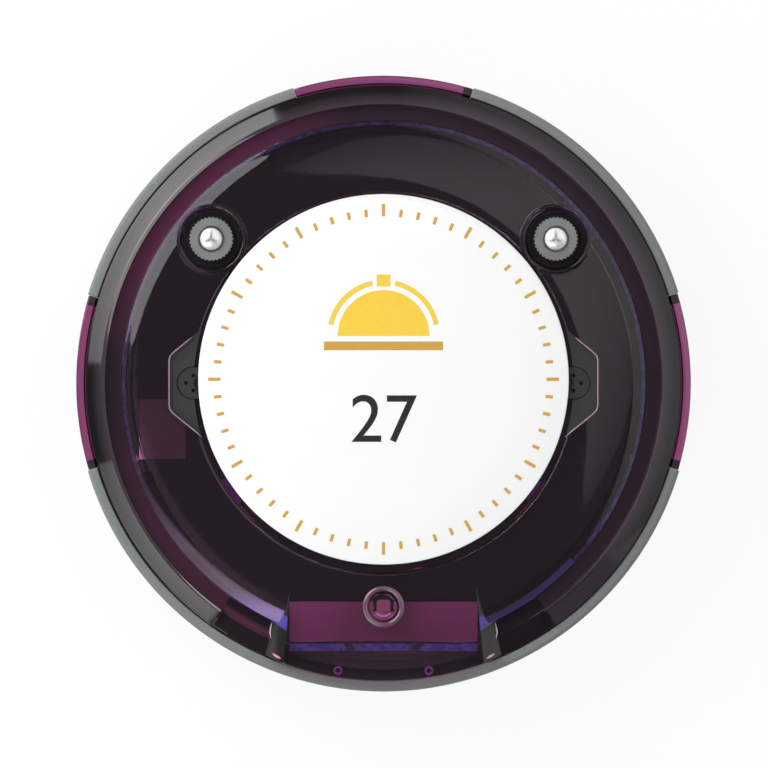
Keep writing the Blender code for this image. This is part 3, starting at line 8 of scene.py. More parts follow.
import bmesh
import bpy
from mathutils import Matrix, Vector


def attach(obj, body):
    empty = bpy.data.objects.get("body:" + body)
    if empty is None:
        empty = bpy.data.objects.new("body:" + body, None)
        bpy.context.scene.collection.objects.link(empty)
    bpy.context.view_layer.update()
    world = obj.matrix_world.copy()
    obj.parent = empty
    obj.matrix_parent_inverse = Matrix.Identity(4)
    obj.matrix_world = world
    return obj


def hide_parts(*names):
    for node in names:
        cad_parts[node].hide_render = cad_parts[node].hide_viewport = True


bl_info = {
    "name": "Guest pager builder",
    "version": (1, 0, 0),
    "blender": (4, 5, 0),
    "location": "View3D > Sidebar > Pager",
    "description": "Models the pieces of a round guest pager and its studio",
    "category": "Object",
}

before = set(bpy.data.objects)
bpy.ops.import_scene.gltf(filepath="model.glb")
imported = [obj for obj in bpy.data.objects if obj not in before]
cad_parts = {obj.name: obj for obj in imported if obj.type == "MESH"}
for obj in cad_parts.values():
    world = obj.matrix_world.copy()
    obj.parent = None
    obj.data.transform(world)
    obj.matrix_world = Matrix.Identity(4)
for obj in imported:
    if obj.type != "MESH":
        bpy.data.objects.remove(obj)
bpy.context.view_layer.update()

MM = 0.001
WELD = 0.0005 * MM

# Rings of the top, by radius
CASE_RADIUS = 48.1
SHOULDER_RADIUS = 44.95
GROOVE_RADIUS = 42.37
BEVEL_RADIUS = 40.1
RECESS_RADIUS = 30.8
SKIRT_RADIUS = 46.1
WALL_RADIUS = 44.7
CAVITY_RADIUS = 40.4

# Heights of the top, from the resting surface
DOME_Z = 19.0
DOME_DROP = 0.9
RECESS_Z = 18.1
GROOVE_Z = 16.0
SHOULDER_Z = 17.3
EDGE_Z = 15.6
SKIRT_Z = 9.4
SEAL_STEP_Z = 12.4
GROOVE_UNDER_Z = 14.3
COVER_UNDER_Z = 16.4
SHELF_Z = 9.1

# Charging contacts, key, lugs and screws
CONTACT_X = 27.802
CONTACT_Y = 23.246
WELL_RADIUS = 4.98
WELL_RIM_RADIUS = 5.62
WELL_RIM_Z = 18.55
WELL_FLOOR_Z = 17.05
SLEEVE_HOLE_RADIUS = 3.25
KEY_Y = -36.1
KEY_HOLE_RADIUS = 2.5
GUARD_RADIUS = 3.4
GUARD_TOP_Z = 19.19
PAD_Z = 18.69
PAD_START_Y = -36.2
PAD_HALF_WIDTH = 15.3
PAD_SPLAY = 0.1
LUG_OUTLINE = [(28.5, -9.5), (31.65, -6.85), (34.8, -4.2), (34.8, 4.2), (31.65, 6.85), (28.5, 9.5)]
VENT_X = 30.7
SCREW_CIRCLE_RADIUS = 26.0
SCREW_PLACE = SCREW_CIRCLE_RADIUS / math.sqrt(2)
SCREW_PLACES = [(x, y) for x in (-SCREW_PLACE, SCREW_PLACE) for y in (-SCREW_PLACE, SCREW_PLACE)]
CONTACT_PLACES = [(-CONTACT_X, CONTACT_Y), (CONTACT_X, CONTACT_Y)]
SIDES = (-1, 1)

# Lower and upper height of thin layers: on the inner frame, on the label and the number printed on it
LAYER_LEVELS = (16.11, 16.2)
CLIP_LEVELS = (16.11, 16.25)
PRINT_LEVELS = (18.74, 18.772)
NUMBER_Z = 18.756
NUMBER_HALF_DEPTH = 0.016

# Rim pieces and their angles, counted from +X
BUMPER_SPANS = {
    "bumper_top_left": (107.0, 163.4),
    "bumper_top_right": (17.0, 73.0),
    "bumper_bottom": (196.5, 343.5),
}
WINDOW_SPANS = {
    "light_window_top": (75.2, 106.4),
    "light_window_left": (165.0, 195.0),
    "light_window_right": (-15.0, 15.0),
}
# Degrees that each lens runs on past its span at either end; these end blocks are dark, as painted shade in
# the notches beside the bumpers
WINDOW_ENDS = {
    "light_window_top": (2.17, 0.57),
    "light_window_left": (1.57, 1.47),
    "light_window_right": (1.47, 1.97),
}
PEG_ANGLES = {"bumper_top_left": (135,), "bumper_top_right": (45,), "bumper_bottom": (225, 261, 279, 315)}
PEG_CIRCLE_RADIUS = 47.25
BUMPER_INNER_RADIUS = 48.4
BUMPER_LIP_RADIUS = 48.2
APRON_SPAN = (235.0, 305.0)
VIOLET_END = 316.0

# Places of the finishes in the cover's list of materials
CLEAR, SHOULDER, GROOVE, LUG_FLOOR, APRON, BACKING, FLANK, KEY_RING, VIOLET_BEVEL, LAVENDER_BEVEL = range(10)

# Volume of the finished cover in cubic metres, tries of a Boolean, and share of the volume that it must leave
COVER_VOLUME = 18565e-9
BOOLEAN_TRIES = 6
PLAIN_TRIES = 3
LEAST_SHARE = 0.98


class Reading:
    """Output of a node that takes part in sums, so that an expression adds its Math nodes."""

    def __init__(self, finish, socket):
        self.finish = finish
        self.socket = socket

    def _math(self, operation, first, second):
        return self.finish.node("ShaderNodeMath", {"operation": operation}, {0: first, 1: second})

    def __add__(self, other):
        return self._math("ADD", self, other)

    def __radd__(self, other):
        return self._math("ADD", other, self)

    def __sub__(self, other):
        return self._math("SUBTRACT", self, other)

    def __rsub__(self, other):
        return self._math("SUBTRACT", other, self)

    def __mul__(self, other):
        return self._math("MULTIPLY", self, other)

    def __rmul__(self, other):
        return self._math("MULTIPLY", other, self)


class Finish:
    """Node tree of one surface finish, or of the world or a lamp that is given as its owner."""

    def __init__(self, name, owner=None):
        self.material = owner or bpy.data.materials.new(name)
        self.material.use_nodes = True
        self.tree = self.material.node_tree
        self.tree.nodes.clear()

    def node(self, kind, settings=None, inputs=None, output=0):
        """Add a node: its settings first, then the values or links of its sockets."""
        made = self.tree.nodes.new(kind)
        for key, value in (settings or {}).items():
            if key == "stops":
                ramp = made.color_ramp
                while len(ramp.elements) < len(value):
                    ramp.elements.new(0.5)
                for element, (position, colour) in zip(ramp.elements, value):
                    element.position = position
                    element.color = (*colour, 1.0)
            else:
                setattr(made, key, value)
        for key, value in (inputs or {}).items():
            if isinstance(value, Reading):
                self.tree.links.new(value.socket, made.inputs[key])
            else:
                made.inputs[key].default_value = value
        return Reading(self, made.outputs[output]) if len(made.outputs) else None

    def place(self):
        """Place on the piece, in metres."""
        return self.node("ShaderNodeTexCoord", output="Object")

    def axis(self, name, mirrored=False):
        """One coordinate of the place; mirrored gives both sides of the middle the same values."""
        value = self.node("ShaderNodeSeparateXYZ", None, {"Vector": self.place()}, name)
        if mirrored:
            value = self.node("ShaderNodeMath", {"operation": "ABSOLUTE"}, {0: value})
        return value

    def radius(self):
        """Distance from the pager's upright axis."""
        flat = self.node(
            "ShaderNodeVectorMath", {"operation": "MULTIPLY"}, {0: self.place(), 1: (1.0, 1.0, 0.0)},
        )
        return self.node("ShaderNodeVectorMath", {"operation": "LENGTH"}, {0: flat}, "Value")

    def grain(self, size, detail=3.0, roughness=0.55, stretch=(1.0, 1.0, 1.0)):
        """Noise whose spots measure about the given size in millimetres."""
        spot = self.node("ShaderNodeMapping", None, {"Vector": self.place(), "Scale": stretch})
        return self.node(
            "ShaderNodeTexNoise", None,
            {"Vector": spot, "Scale": 1.0 / (size * MM), "Detail": detail, "Roughness": roughness}, "Fac",
        )

    def between(self, reading, low, high):
        """Share from 0 to 1 of a reading between two values."""
        return self.node(
            "ShaderNodeMapRange", None, {"Value": reading, "From Min": low, "From Max": high}, "Result",
        )

    def tint(self, share, first, second):
        """Colour between two colours, by a share."""
        return self.node(
            "ShaderNodeMix", {"data_type": "RGBA"},
            {0: share, 6: colour4(first), 7: colour4(second)}, 2,
        )

    def relief(self, height, depth):
        """Normal of a relief whose full height is given in millimetres."""
        return self.node("ShaderNodeBump", None, {"Distance": depth * MM, "Height": height}, "Normal")

    def principled(self, sockets):
        return self.node("ShaderNodeBsdfPrincipled", None, sockets)

    def done(self, shader):
        self.node("ShaderNodeOutputMaterial", None, {"Surface": shader})
        return self.material

    def surface(self, sockets):
        """Finished material of one principled shader."""
        return self.done(self.principled(sockets))


def colour4(colour):
    """Colour with an alpha of one, or a reading as it is."""
    return colour if isinstance(colour, Reading) else (*colour[:3], 1.0)


def scaled(colour, share):
    return tuple(channel * share for channel in colour[:3])


def clear_plastic(name, colour, roughness=0.04, transmission=1.0, smears=0.05):
    """Tinted clear plastic with a faint wave of the mould and a few handling smears."""
    finish = Finish(name)
    smear = finish.between(finish.grain(9.0, 5.0, 0.6, (1.0, 0.45, 1.0)), 0.52, 0.78)
    scratch = finish.between(finish.grain(0.5, 2.0, 0.5, (1.0, 0.06, 1.0)), 0.66, 0.72)
    wave = finish.grain(14.0, 1.0)
    body = finish.principled({
        "Base Color": finish.tint(finish.grain(22.0, 2.0), scaled(colour, 0.94), scaled(colour, 1.06)),
        "Roughness": roughness + smear * smears + scratch * 0.06,
        "IOR": 1.49,
        "Transmission Weight": transmission,
        "Normal": finish.relief(wave + scratch * 0.02, 0.02),
    })
    lamp_light = finish.node(
        "ShaderNodeBsdfTransparent", None, {"Color": colour4([channel ** 0.5 for channel in colour[:3]])},
    )
    shadow = finish.node("ShaderNodeLightPath", output="Is Shadow Ray")
    return finish.done(finish.node("ShaderNodeMixShader", None, {0: shadow, 1: body, 2: lamp_light}))


def smoked_plastic(name, colour):
    """Deeply smoked shoulder: violet-grey along its inner edge, near black at the rim, with a painted
    reflection as a lighter wedge at the front right.
    """
    finish = Finish(name)
    wave = finish.grain(11.0, 2.0)
    smear = finish.between(finish.grain(8.0, 5.0, 0.6, (1.0, 0.45, 1.0)), 0.5, 0.8)
    outwards = finish.between(finish.radius(), 45.3 * MM, 47.2 * MM)
    outer_half = finish.between(finish.radius(), 45.1 * MM, 45.6 * MM)
    # painted reflection: a lighter wedge across the shoulder at the front right
    x, y = at_angle(1.0, 309)
    front_right = finish.between(finish.axis("X") * x + finish.axis("Y") * y, 44.0 * MM, 45.0 * MM)
    around = finish.tint(outwards, colour, scaled(colour, 0.12))
    wedge = finish.tint(outer_half, scaled(colour, 0.4), scaled(colour, 0.9))
    return finish.surface({
        "Base Color": finish.tint(front_right, around, wedge),
        "Roughness": 0.06 + 0.05 * smear,
        "IOR": 1.49,
        "Normal": finish.relief(wave, 0.02),
    })


def groove_plastic(name, colour, painted_light_tint):
    """Frosted groove: deep magenta, with painted light making it stronger towards the two left quarters,
    where the left lamps shine.
    """
    finish = Finish(name)
    # painted light: the magenta grows stronger towards the two left quarters, as if lit by the left lamps
    shares = []
    for angle in (136, 226):
        x, y = at_angle(1.0, angle)
        along = finish.axis("X") * x + finish.axis("Y") * y
        shares.append(finish.between(along, 34.0 * MM, 43.0 * MM))
    frost = finish.grain(0.5, 3.0)
    base = finish.tint(finish.grain(7.0, 3.0), scaled(colour, 0.85), scaled(colour, 1.15))
    return finish.surface({
        "Base Color": finish.tint(shares[0] + shares[1] * 0.42, base, painted_light_tint),
        "Roughness": 0.3 + 0.12 * frost,
        "Specular IOR Level": 0.25,
        "Normal": finish.relief(frost, 0.004),
    })


def flank_plastic(name, colour, violet):
    """Smoked flank of the number window, with the light pipe's violet showing through."""
    finish = Finish(name)
    slant = finish.axis("Y") - finish.axis("X", mirrored=True) * 0.6
    lower = finish.between(slant, -49.5 * MM, -49.2 * MM)
    upper = finish.between(slant, -46.9 * MM, -47.2 * MM)
    mist = finish.grain(4.0, 3.0)
    return finish.surface({
        "Base Color": finish.tint(lower * upper * (0.8 + 0.4 * mist), colour, violet),
        "Roughness": 0.1 + 0.08 * mist,
        "IOR": 1.49,
        "Normal": finish.relief(mist, 0.01),
    })


def edge_plastic(name, colour, violet):
    """Smoked bevel beside the number window, with the light pipe's violet line along it."""
    finish = Finish(name)
    inner = finish.between(finish.radius(), 41.1 * MM, 41.4 * MM)
    mist = finish.grain(4.0, 3.0)
    return finish.surface({
        "Base Color": finish.tint(inner * (0.8 + 0.3 * mist), colour, violet),
        "Roughness": 0.25 + 0.1 * mist,
        "Specular IOR Level": 0.2,
        "Normal": finish.relief(mist, 0.01),
    })


def crescent_plastic(name, colour):
    """Smoked bevel at the lower left, with a painted lavender highlight growing towards the strip."""
    finish = Finish(name)
    along = finish.between(finish.axis("Y"), -13.0 * MM, -38.5 * MM)
    # painted highlight: the lavender ramp stands in for the lamps' reflection on the bevel
    lavender = finish.node("ShaderNodeValToRGB", {"stops": [
        (0.0, (0.040, 0.025, 0.060)), (0.176, (0.036, 0.022, 0.045)), (0.353, (0.060, 0.035, 0.064)),
        (0.514, (0.085, 0.054, 0.090)), (0.62, (0.076, 0.042, 0.064)), (0.8, (0.105, 0.060, 0.110)),
        (0.87, (0.160, 0.097, 0.215)), (0.93, (0.235, 0.150, 0.36)), (1.0, (0.235, 0.150, 0.40)),
    ]}, {"Fac": along}, "Color")
    reach = finish.radius() + along * (2.9 * MM)
    mist = finish.grain(4.0, 3.0)
    return finish.surface({
        "Base Color": finish.tint(finish.between(reach, 41.8 * MM, 42.4 * MM), colour, lavender),
        "Roughness": 0.16 + 0.1 * mist,
        "Specular IOR Level": 0.15,
        "Normal": finish.relief(mist, 0.01),
    })


def apron_plastic(name, colour, painted_light_tint):
    """Dark apron beside the number window, with painted light: a band of stronger magenta along the left one.
    """
    finish = Finish(name)
    reach = finish.radius()
    # painted light: a band of stronger magenta along the left apron, where the groove's painted light runs
    # out
    left = finish.between(finish.axis("X"), 0.0, -1.0 * MM)
    band = finish.between(reach, 43.6 * MM, 44.4 * MM) * finish.between(reach, 45.4 * MM, 45.0 * MM)
    cloud = finish.grain(6.0, 3.0)
    return finish.surface({
        "Base Color": finish.tint(left * band * (0.7 + 0.5 * cloud), colour, painted_light_tint),
        "Roughness": 0.55 + 0.1 * cloud,
        "Specular IOR Level": 0.1,
        "Normal": finish.relief(cloud, 0.004),
    })


def moulded_plastic(name, colour, roughness, texture=0.25, depth=0.006, sheen=0.0):
    """Opaque moulded plastic with a fine spark-eroded texture."""
    finish = Finish(name)
    fine = finish.grain(texture, 4.0, 0.6)
    broad = finish.grain(6.0, 3.0)
    return finish.surface({
        "Base Color": finish.tint(broad, scaled(colour, 0.9), scaled(colour, 1.1)),
        "Roughness": roughness - 0.08 + 0.16 * finish.between(broad, 0.3, 0.7),
        "Coat Weight": sheen,
        "Normal": finish.relief(fine, depth),
    })


def bumper_rubber(name, colour):
    """Grey-green elastomer: matte, faintly mottled, with paler dust on its outer part and a painted shadow
    darkening its inner lip, except at the front.
    """
    finish = Finish(name)
    mottle = finish.grain(3.0, 5.0, 0.65)
    pores = finish.between(finish.grain(0.16, 3.0, 0.6), 0.35, 0.75)
    # painted shadow: the inner lip is darkened as a shadow line at the joint with the cover, except at the
    # front
    inner = finish.between(finish.radius(), (BUMPER_LIP_RADIUS + 0.1) * MM, (BUMPER_LIP_RADIUS + 0.3) * MM)
    front = finish.between(finish.axis("Y"), -36.0 * MM, -42.0 * MM)
    base = finish.tint(mottle, scaled(colour, 0.9), scaled(colour, 1.08))
    dust = finish.between(finish.grain(1.1, 4.0, 0.7), 0.62, 0.8)
    worn = finish.tint(dust * 0.25, base, scaled(colour, 1.6))
    return finish.surface({
        "Base Color": finish.tint(inner + front, scaled(colour, 0.4), worn),
        "Roughness": 0.58 + 0.14 * mottle,
        "Normal": finish.relief(pores, 0.012),
    })


def worn_metal(name, colour, roughness, ring=None, depth=0.002):
    """Metal with turning marks round a place, or fine random marks."""
    finish = Finish(name)
    marks = finish.grain(0.3, 4.0, 0.6)
    if ring:
        away = finish.node(
            "ShaderNodeVectorMath", {"operation": "SUBTRACT"},
            {0: mirrored_place(finish), 1: (ring[0] * MM, ring[1] * MM, 0.0)},
        )
        reach = finish.node("ShaderNodeVectorMath", {"operation": "LENGTH"}, {0: away}, "Value")
        turns = finish.node("ShaderNodeMath", {"operation": "SINE"}, {0: reach * (math.tau / (0.14 * MM))})
        marks = marks * 0.5 + turns * 0.25
    blotch = finish.grain(2.5, 4.0, 0.6)
    return finish.surface({
        "Base Color": finish.tint(blotch, scaled(colour, 0.88), scaled(colour, 1.08)),
        "Metallic": 1.0,
        "Roughness": roughness + 0.12 * finish.between(blotch, 0.4, 0.7),
        "Normal": finish.relief(marks, depth),
    })


def mirrored_place(finish):
    """Place with X counted from the middle plane to both sides, and no height."""
    across = finish.axis("X", mirrored=True)
    return finish.node("ShaderNodeCombineXYZ", None, {"X": across, "Y": finish.axis("Y")})


def chrome_dome(name, colour):
    """Bright rounded tip with a painted reflection: a soft grey three-armed star and a darker middle."""
    finish = Finish(name)
    across = finish.axis("X", mirrored=True) - CONTACT_X * MM
    along = finish.axis("Y") - CONTACT_Y * MM
    reach = finish.node("ShaderNodeMath", {"operation": "SQRT"}, {0: across * across + along * along})
    angle = finish.node("ShaderNodeMath", {"operation": "ARCTAN2"}, {0: along, 1: across})
    # painted reflection: grey three-armed star and darker middle in the chrome's colour
    arms = finish.node("ShaderNodeMath", {"operation": "SINE"}, {0: angle * -3.0})
    star = finish.between(arms, 0.2, 1.0) * finish.between(reach, 1.5 * MM, 0.3 * MM)
    middle = finish.between(reach, 0.7 * MM, 0.1 * MM)
    blotch = finish.grain(0.8, 4.0, 0.6)
    return finish.surface({
        "Base Color": finish.tint(star + middle * 0.7, colour, scaled(colour, 0.33)),
        "Metallic": 0.4,
        "Roughness": 0.26 + 0.1 * blotch,
        "Normal": finish.relief(blotch, 0.002),
    })


def key_plastic(name, colour, edge):
    """Magenta key, dark behind the number strip's upper edge."""
    finish = Finish(name)
    above = finish.between(finish.axis("Y"), (KEY_Y + edge) * MM, (KEY_Y + edge + 0.2) * MM)
    cloud = finish.grain(1.2, 3.0)
    face = finish.tint(cloud, scaled(colour, 0.85), scaled(colour, 1.15))
    return finish.surface({
        "Base Color": finish.tint(above, face, scaled(colour, 0.1)),
        "Roughness": 0.14 + 0.1 * cloud,
        "IOR": 1.49,
        "Normal": finish.relief(cloud, 0.004),
    })


def black_rubber(name):
    finish = Finish(name)
    pores = finish.grain(0.2, 4.0, 0.6)
    return finish.surface({
        "Base Color": finish.tint(finish.grain(2.0, 4.0), (0.004, 0.004, 0.004), (0.011, 0.010, 0.010)),
        "Roughness": 0.55 + 0.2 * pores,
        "Specular IOR Level": 0.15,
        "Normal": finish.relief(pores, 0.01),
    })


def frame_plastic(name):
    """Black inner plastic with a satin face and faint flow marks."""
    finish = Finish(name)
    flow = finish.grain(5.0, 4.0, 0.6, (1.0, 0.3, 1.0))
    return finish.surface({
        "Base Color": finish.tint(flow, (0.0035, 0.006, 0.004), (0.009, 0.012, 0.009)),
        "Roughness": 0.5 + 0.15 * flow,
        "Specular IOR Level": 0.08,
        "Normal": finish.relief(finish.grain(1.2, 2.0), 0.004),
    })


def label_paper(name, colour):
    """Printed polyester label: near white, very slightly mottled, with a soft satin face and painted shade
    towards its rim.
    """
    finish = Finish(name)
    fibre = finish.grain(0.7, 5.0, 0.6)
    cloud = finish.grain(12.0, 3.0)
    # painted shade: the paper is slightly darker towards its rim
    edge = finish.between(finish.radius(), 29.4 * MM, 30.1 * MM)
    face = finish.tint(cloud, scaled(colour, 0.985), scaled(colour, 1.0))
    return finish.surface({
        "Base Color": finish.tint(edge * 0.12, face, scaled(colour, 0.7)),
        "Roughness": 0.42 + 0.1 * fibre,
        "Normal": finish.relief(fibre, 0.003),
    })


def printing_ink(name, colour):
    finish = Finish(name)
    fibre = finish.grain(0.5, 5.0, 0.6)
    return finish.surface({
        "Base Color": finish.tint(fibre, scaled(colour, 0.93), scaled(colour, 1.05)),
        "Roughness": 0.35 + 0.12 * fibre,
        "Normal": finish.relief(fibre, 0.002),
    })


def strip_plastic(name, colour):
    """Number strip seen through the shell, with painted light: brightest at its left end, lighter at its back
    edge, dimmer in the middle.
    """
    finish = Finish(name)
    along = finish.axis("X")
    # painted light: the strip is lit up at its left end, less at its right end, and along its back edge
    left = finish.between(along, -5.0 * MM, -15.0 * MM)
    right = finish.between(along, 3.0 * MM, 14.0 * MM)
    back = finish.between(finish.axis("Y"), -41.0 * MM, -36.0 * MM)
    glow = left * 0.75 + right * 0.25 + back * 0.3
    return finish.surface({
        "Base Color": finish.tint(glow, scaled(colour, 0.72), scaled(colour, 1.55)),
        "Roughness": 0.45 + 0.1 * finish.grain(1.5, 4.0),
        "Normal": finish.relief(finish.grain(0.3, 3.0), 0.005),
    })


def guide_plastic(name, colour):
    """Light pipe: deep blue-violet, with frosted spots along it."""
    finish = Finish(name)
    frost = finish.between(finish.grain(1.4, 4.0, 0.6), 0.4, 0.7)
    return finish.surface({
        "Base Color": finish.tint(frost, scaled(colour, 0.75), scaled(colour, 1.25)),
        "Roughness": 0.22 + 0.2 * frost,
        "Coat Weight": 0.4,
        "Normal": finish.relief(frost, 0.006),
    })


def board_lacquer(name):
    """Solder mask with runs of copper under it and pale tinned spots."""
    finish = Finish(name)
    runs = finish.node(
        "ShaderNodeTexBrick", {"offset": 0.37, "squash": 1.6},
        {"Vector": finish.place(), "Scale": 260.0, "Mortar Size": 0.05, "Mortar Smooth": 0.1}, "Fac",
    )
    spots = finish.node(
        "ShaderNodeTexVoronoi", {"feature": "F1"}, {"Vector": finish.place(), "Scale": 330.0}, "Distance",
    )
    tinned = finish.between(spots, 0.16, 0.12)
    mask = finish.tint(runs, (0.012, 0.075, 0.03), (0.03, 0.17, 0.07))
    return finish.surface({
        "Base Color": finish.tint(tinned, mask, (0.55, 0.52, 0.45)),
        "Roughness": 0.42 - 0.12 * tinned,
        "Coat Weight": 0.3,
        "Normal": finish.relief(runs + tinned, 0.02),
    })


def battery_foil(name):
    """Crimped aluminium pouch under a dull wrap."""
    finish = Finish(name)
    creases = finish.grain(3.0, 6.0, 0.65, (1.0, 0.5, 1.0))
    band = finish.between(finish.axis("Y"), 12.0 * MM, 12.3 * MM)
    return finish.surface({
        "Base Color": finish.tint(band, (0.50, 0.52, 0.55), (0.62, 0.34, 0.06)),
        "Metallic": 0.85 - 0.8 * band,
        "Roughness": 0.3 + 0.2 * creases,
        "Normal": finish.relief(creases, 0.08),
    })


def chip_epoxy(name):
    finish = Finish(name)
    sand = finish.grain(0.12, 3.0, 0.7)
    return finish.surface({
        "Base Color": finish.tint(sand, (0.014, 0.014, 0.015), (0.035, 0.035, 0.037)),
        "Roughness": 0.5 + 0.2 * sand,
        "Normal": finish.relief(sand, 0.01),
    })


def membrane_cloth(name):
    finish = Finish(name)
    weave = finish.node(
        "ShaderNodeTexWave", {"wave_type": "BANDS", "bands_direction": "DIAGONAL"},
        {"Vector": finish.place(), "Scale": 2600.0, "Distortion": 1.5}, "Fac",
    )
    return finish.surface({
        "Base Color": finish.tint(weave, (0.045, 0.045, 0.045), (0.11, 0.11, 0.11)),
        "Roughness": 0.75 + 0.1 * weave,
        "Normal": finish.relief(weave, 0.03),
    })


def wire_jacket(name, colour):
    finish = Finish(name)
    rub = finish.grain(0.8, 4.0, 0.6)
    return finish.surface({
        "Base Color": finish.tint(rub, scaled(colour, 0.8), scaled(colour, 1.15)),
        "Roughness": 0.38 + 0.15 * rub,
        "Normal": finish.relief(rub, 0.01),
    })


def led_lens(name):
    finish = Finish(name)
    phosphor = finish.grain(0.4, 3.0)
    return finish.surface({
        "Base Color": finish.tint(phosphor, (0.72, 0.62, 0.28), (0.9, 0.85, 0.62)),
        "Roughness": 0.22 + 0.1 * phosphor,
        "Coat Weight": 0.5,
        "Normal": finish.relief(phosphor, 0.01),
    })


def let_go():
    """Leave edit mode and deselect everything."""
    if bpy.context.mode != "OBJECT":
        bpy.ops.object.mode_set(mode="OBJECT")
    bpy.ops.object.select_all(action="DESELECT")


def pick(piece):
    let_go()
    piece.select_set(True)
    bpy.context.view_layer.objects.active = piece


def start_point(name, point):
    """New mesh of a single point, open for drawing."""
    let_go()
    bpy.ops.mesh.primitive_plane_add(size=2 * MM)
    piece = bpy.context.active_object
    piece.name = name
    piece.data.name = name
    bpy.ops.object.mode_set(mode="EDIT")
    bpy.ops.mesh.select_all(action="SELECT")
    bpy.ops.mesh.merge(type="CENTER")
    bpy.ops.transform.translate(value=[value * MM for value in point])
    return piece


def draw_through(points):
    """Extrude the chosen point along a list of points."""
    for here, there in zip(points, points[1:]):
        step = [(after - before) * MM for before, after in zip(here, there)]
        bpy.ops.mesh.extrude_region_move(TRANSFORM_OT_translate={"value": step})
    bpy.ops.mesh.select_all(action="SELECT")
    bpy.ops.mesh.remove_doubles(threshold=WELD)


def close_up():
    """Join the seam and turn the faces outwards."""
    bpy.ops.mesh.select_all(action="SELECT")
    bpy.ops.mesh.remove_doubles(threshold=WELD)
    bpy.ops.mesh.normals_make_consistent(inside=False)
    bpy.ops.object.mode_set(mode="OBJECT")


def turn(name, section, centre=(0.0, 0.0), steps=48):
    """Full turn of a section of radii and heights, closed on its axis or as a ring."""
    ring = min(radius for radius, height in section) > 0
    loop = section + section[:1] if ring else section
    points = [(centre[0] + radius, centre[1], height) for radius, height in loop]
    piece = start_point(name, points[0])
    draw_through(points)
    bpy.ops.mesh.spin(
        steps=steps, angle=math.tau, center=(centre[0] * MM, centre[1] * MM, 0.0), axis=(0, 0, 1),
    )
    close_up()
    return piece


def sweep(name, section, start, end, steps):
    """Part turn of a closed section between two angles, with flat ends."""
    begin = math.radians(start)
    points = [
        (radius * math.cos(begin), radius * math.sin(begin), height)
        for radius, height in section + section[:1]
    ]
    piece = start_point(name, points[0])
    draw_through(points)
    bpy.ops.mesh.edge_face_add()
    bpy.ops.mesh.spin(steps=steps, angle=math.radians(start - end), center=(0, 0, 0), axis=(0, 0, 1))
    close_up()
    return piece


def slab(name, outline, low, high):
    """Outline in the level plane, extruded between two heights."""
    points = [(x, y, low) for x, y in outline + outline[:1]]
    piece = start_point(name, points[0])
    draw_through(points)
    bpy.ops.mesh.edge_face_add()
    bpy.ops.mesh.extrude_region_move(TRANSFORM_OT_translate={"value": (0, 0, (high - low) * MM)})
    close_up()
    return piece


def loft(name, first, second):
    """Solid between two outlines with as many points, given in space."""
    piece = start_point(name, first[0])
    draw_through(first + first[:1])
    bpy.ops.mesh.edge_face_add()
    let_go()
    other = start_point(name + " end", second[0])
    draw_through(second + second[:1])
    bpy.ops.mesh.edge_face_add()
    merge_into(piece, [other])
    bpy.ops.object.mode_set(mode="EDIT")
    bpy.ops.mesh.select_mode(type="EDGE")
    bpy.ops.mesh.select_all(action="SELECT")
    bpy.ops.mesh.bridge_edge_loops()
    bpy.ops.mesh.select_mode(type="VERT")
    close_up()
    return piece


def merge_into(piece, others):
    """Join others into a piece."""
    pick(piece)
    for other in others:
        other.select_set(True)
    bpy.ops.object.join()
    return piece


def merged(pieces, name=None):
    """First of some pieces with the others joined into it, under a new name where one is given."""
    piece = merge_into(pieces[0], pieces[1:]) if len(pieces) > 1 else pieces[0]
    if name:
        piece.name = name
        piece.data.name = name
    return piece


def rod(name, radius, low, high, place, steps):
    """Upright rod between two heights."""
    return turn(name, [(0.0, low), (radius, low), (radius, high), (0.0, high)], place, steps)


def box_slab(name, low, high):
    outline = [(low[0], low[1]), (high[0], low[1]), (high[0], high[1]), (low[0], high[1])]
    return slab(name, outline, low[2], high[2])


def volume(mesh):
    """Volume inside a closed mesh."""
    measured = bmesh.new()
    measured.from_mesh(mesh)
    inside = measured.calc_volume()
    measured.free()
    return inside


def shape_by(piece, tools, operation):
    """Exact Boolean of a piece with tools that don't touch each other, made again where the piece got lost.

    The Boolean can lose the piece with no error, and the cause of that wasn't found. So each result's
    volume is held against the least that the operation can leave.
    """
    tool = merged(tools)
    before, spare = volume(piece.data), piece.data.copy()
    least = {"UNION": before, "DIFFERENCE": before - volume(tool.data), "INTERSECT": 0.1 * before}[operation]
    for attempt in range(BOOLEAN_TRIES):
        pick(piece)
        modifier = piece.modifiers.new("shape", "BOOLEAN")
        modifier.operation = operation
        modifier.solver = "EXACT"
        modifier.use_hole_tolerant = attempt >= PLAIN_TRIES
        modifier.object = tool
        bpy.ops.object.modifier_apply(modifier=modifier.name)
        if volume(piece.data) > LEAST_SHARE * least:
            break
        piece.data = spare.copy()
    else:
        raise RuntimeError(f"{piece.name} got lost in a Boolean")
    bpy.data.objects.remove(tool)
    bpy.data.meshes.remove(spare)


def cut(piece, *tools):
    shape_by(piece, tools, "DIFFERENCE")


def weld(piece, *tools):
    shape_by(piece, tools, "UNION")


def soften(piece, width, segments=2, angle=40.0):
    """Bevel the sharp edges."""
    pick(piece)
    modifier = piece.modifiers.new("soft edges", "BEVEL")
    modifier.width = width * MM
    modifier.segments = segments
    modifier.limit_method = "ANGLE"
    modifier.angle_limit = math.radians(angle)
    modifier.harden_normals = False
    bpy.ops.object.modifier_apply(modifier=modifier.name)


def smooth(piece, angle):
    pick(piece)
    bpy.ops.object.shade_smooth_by_angle(angle=math.radians(angle))


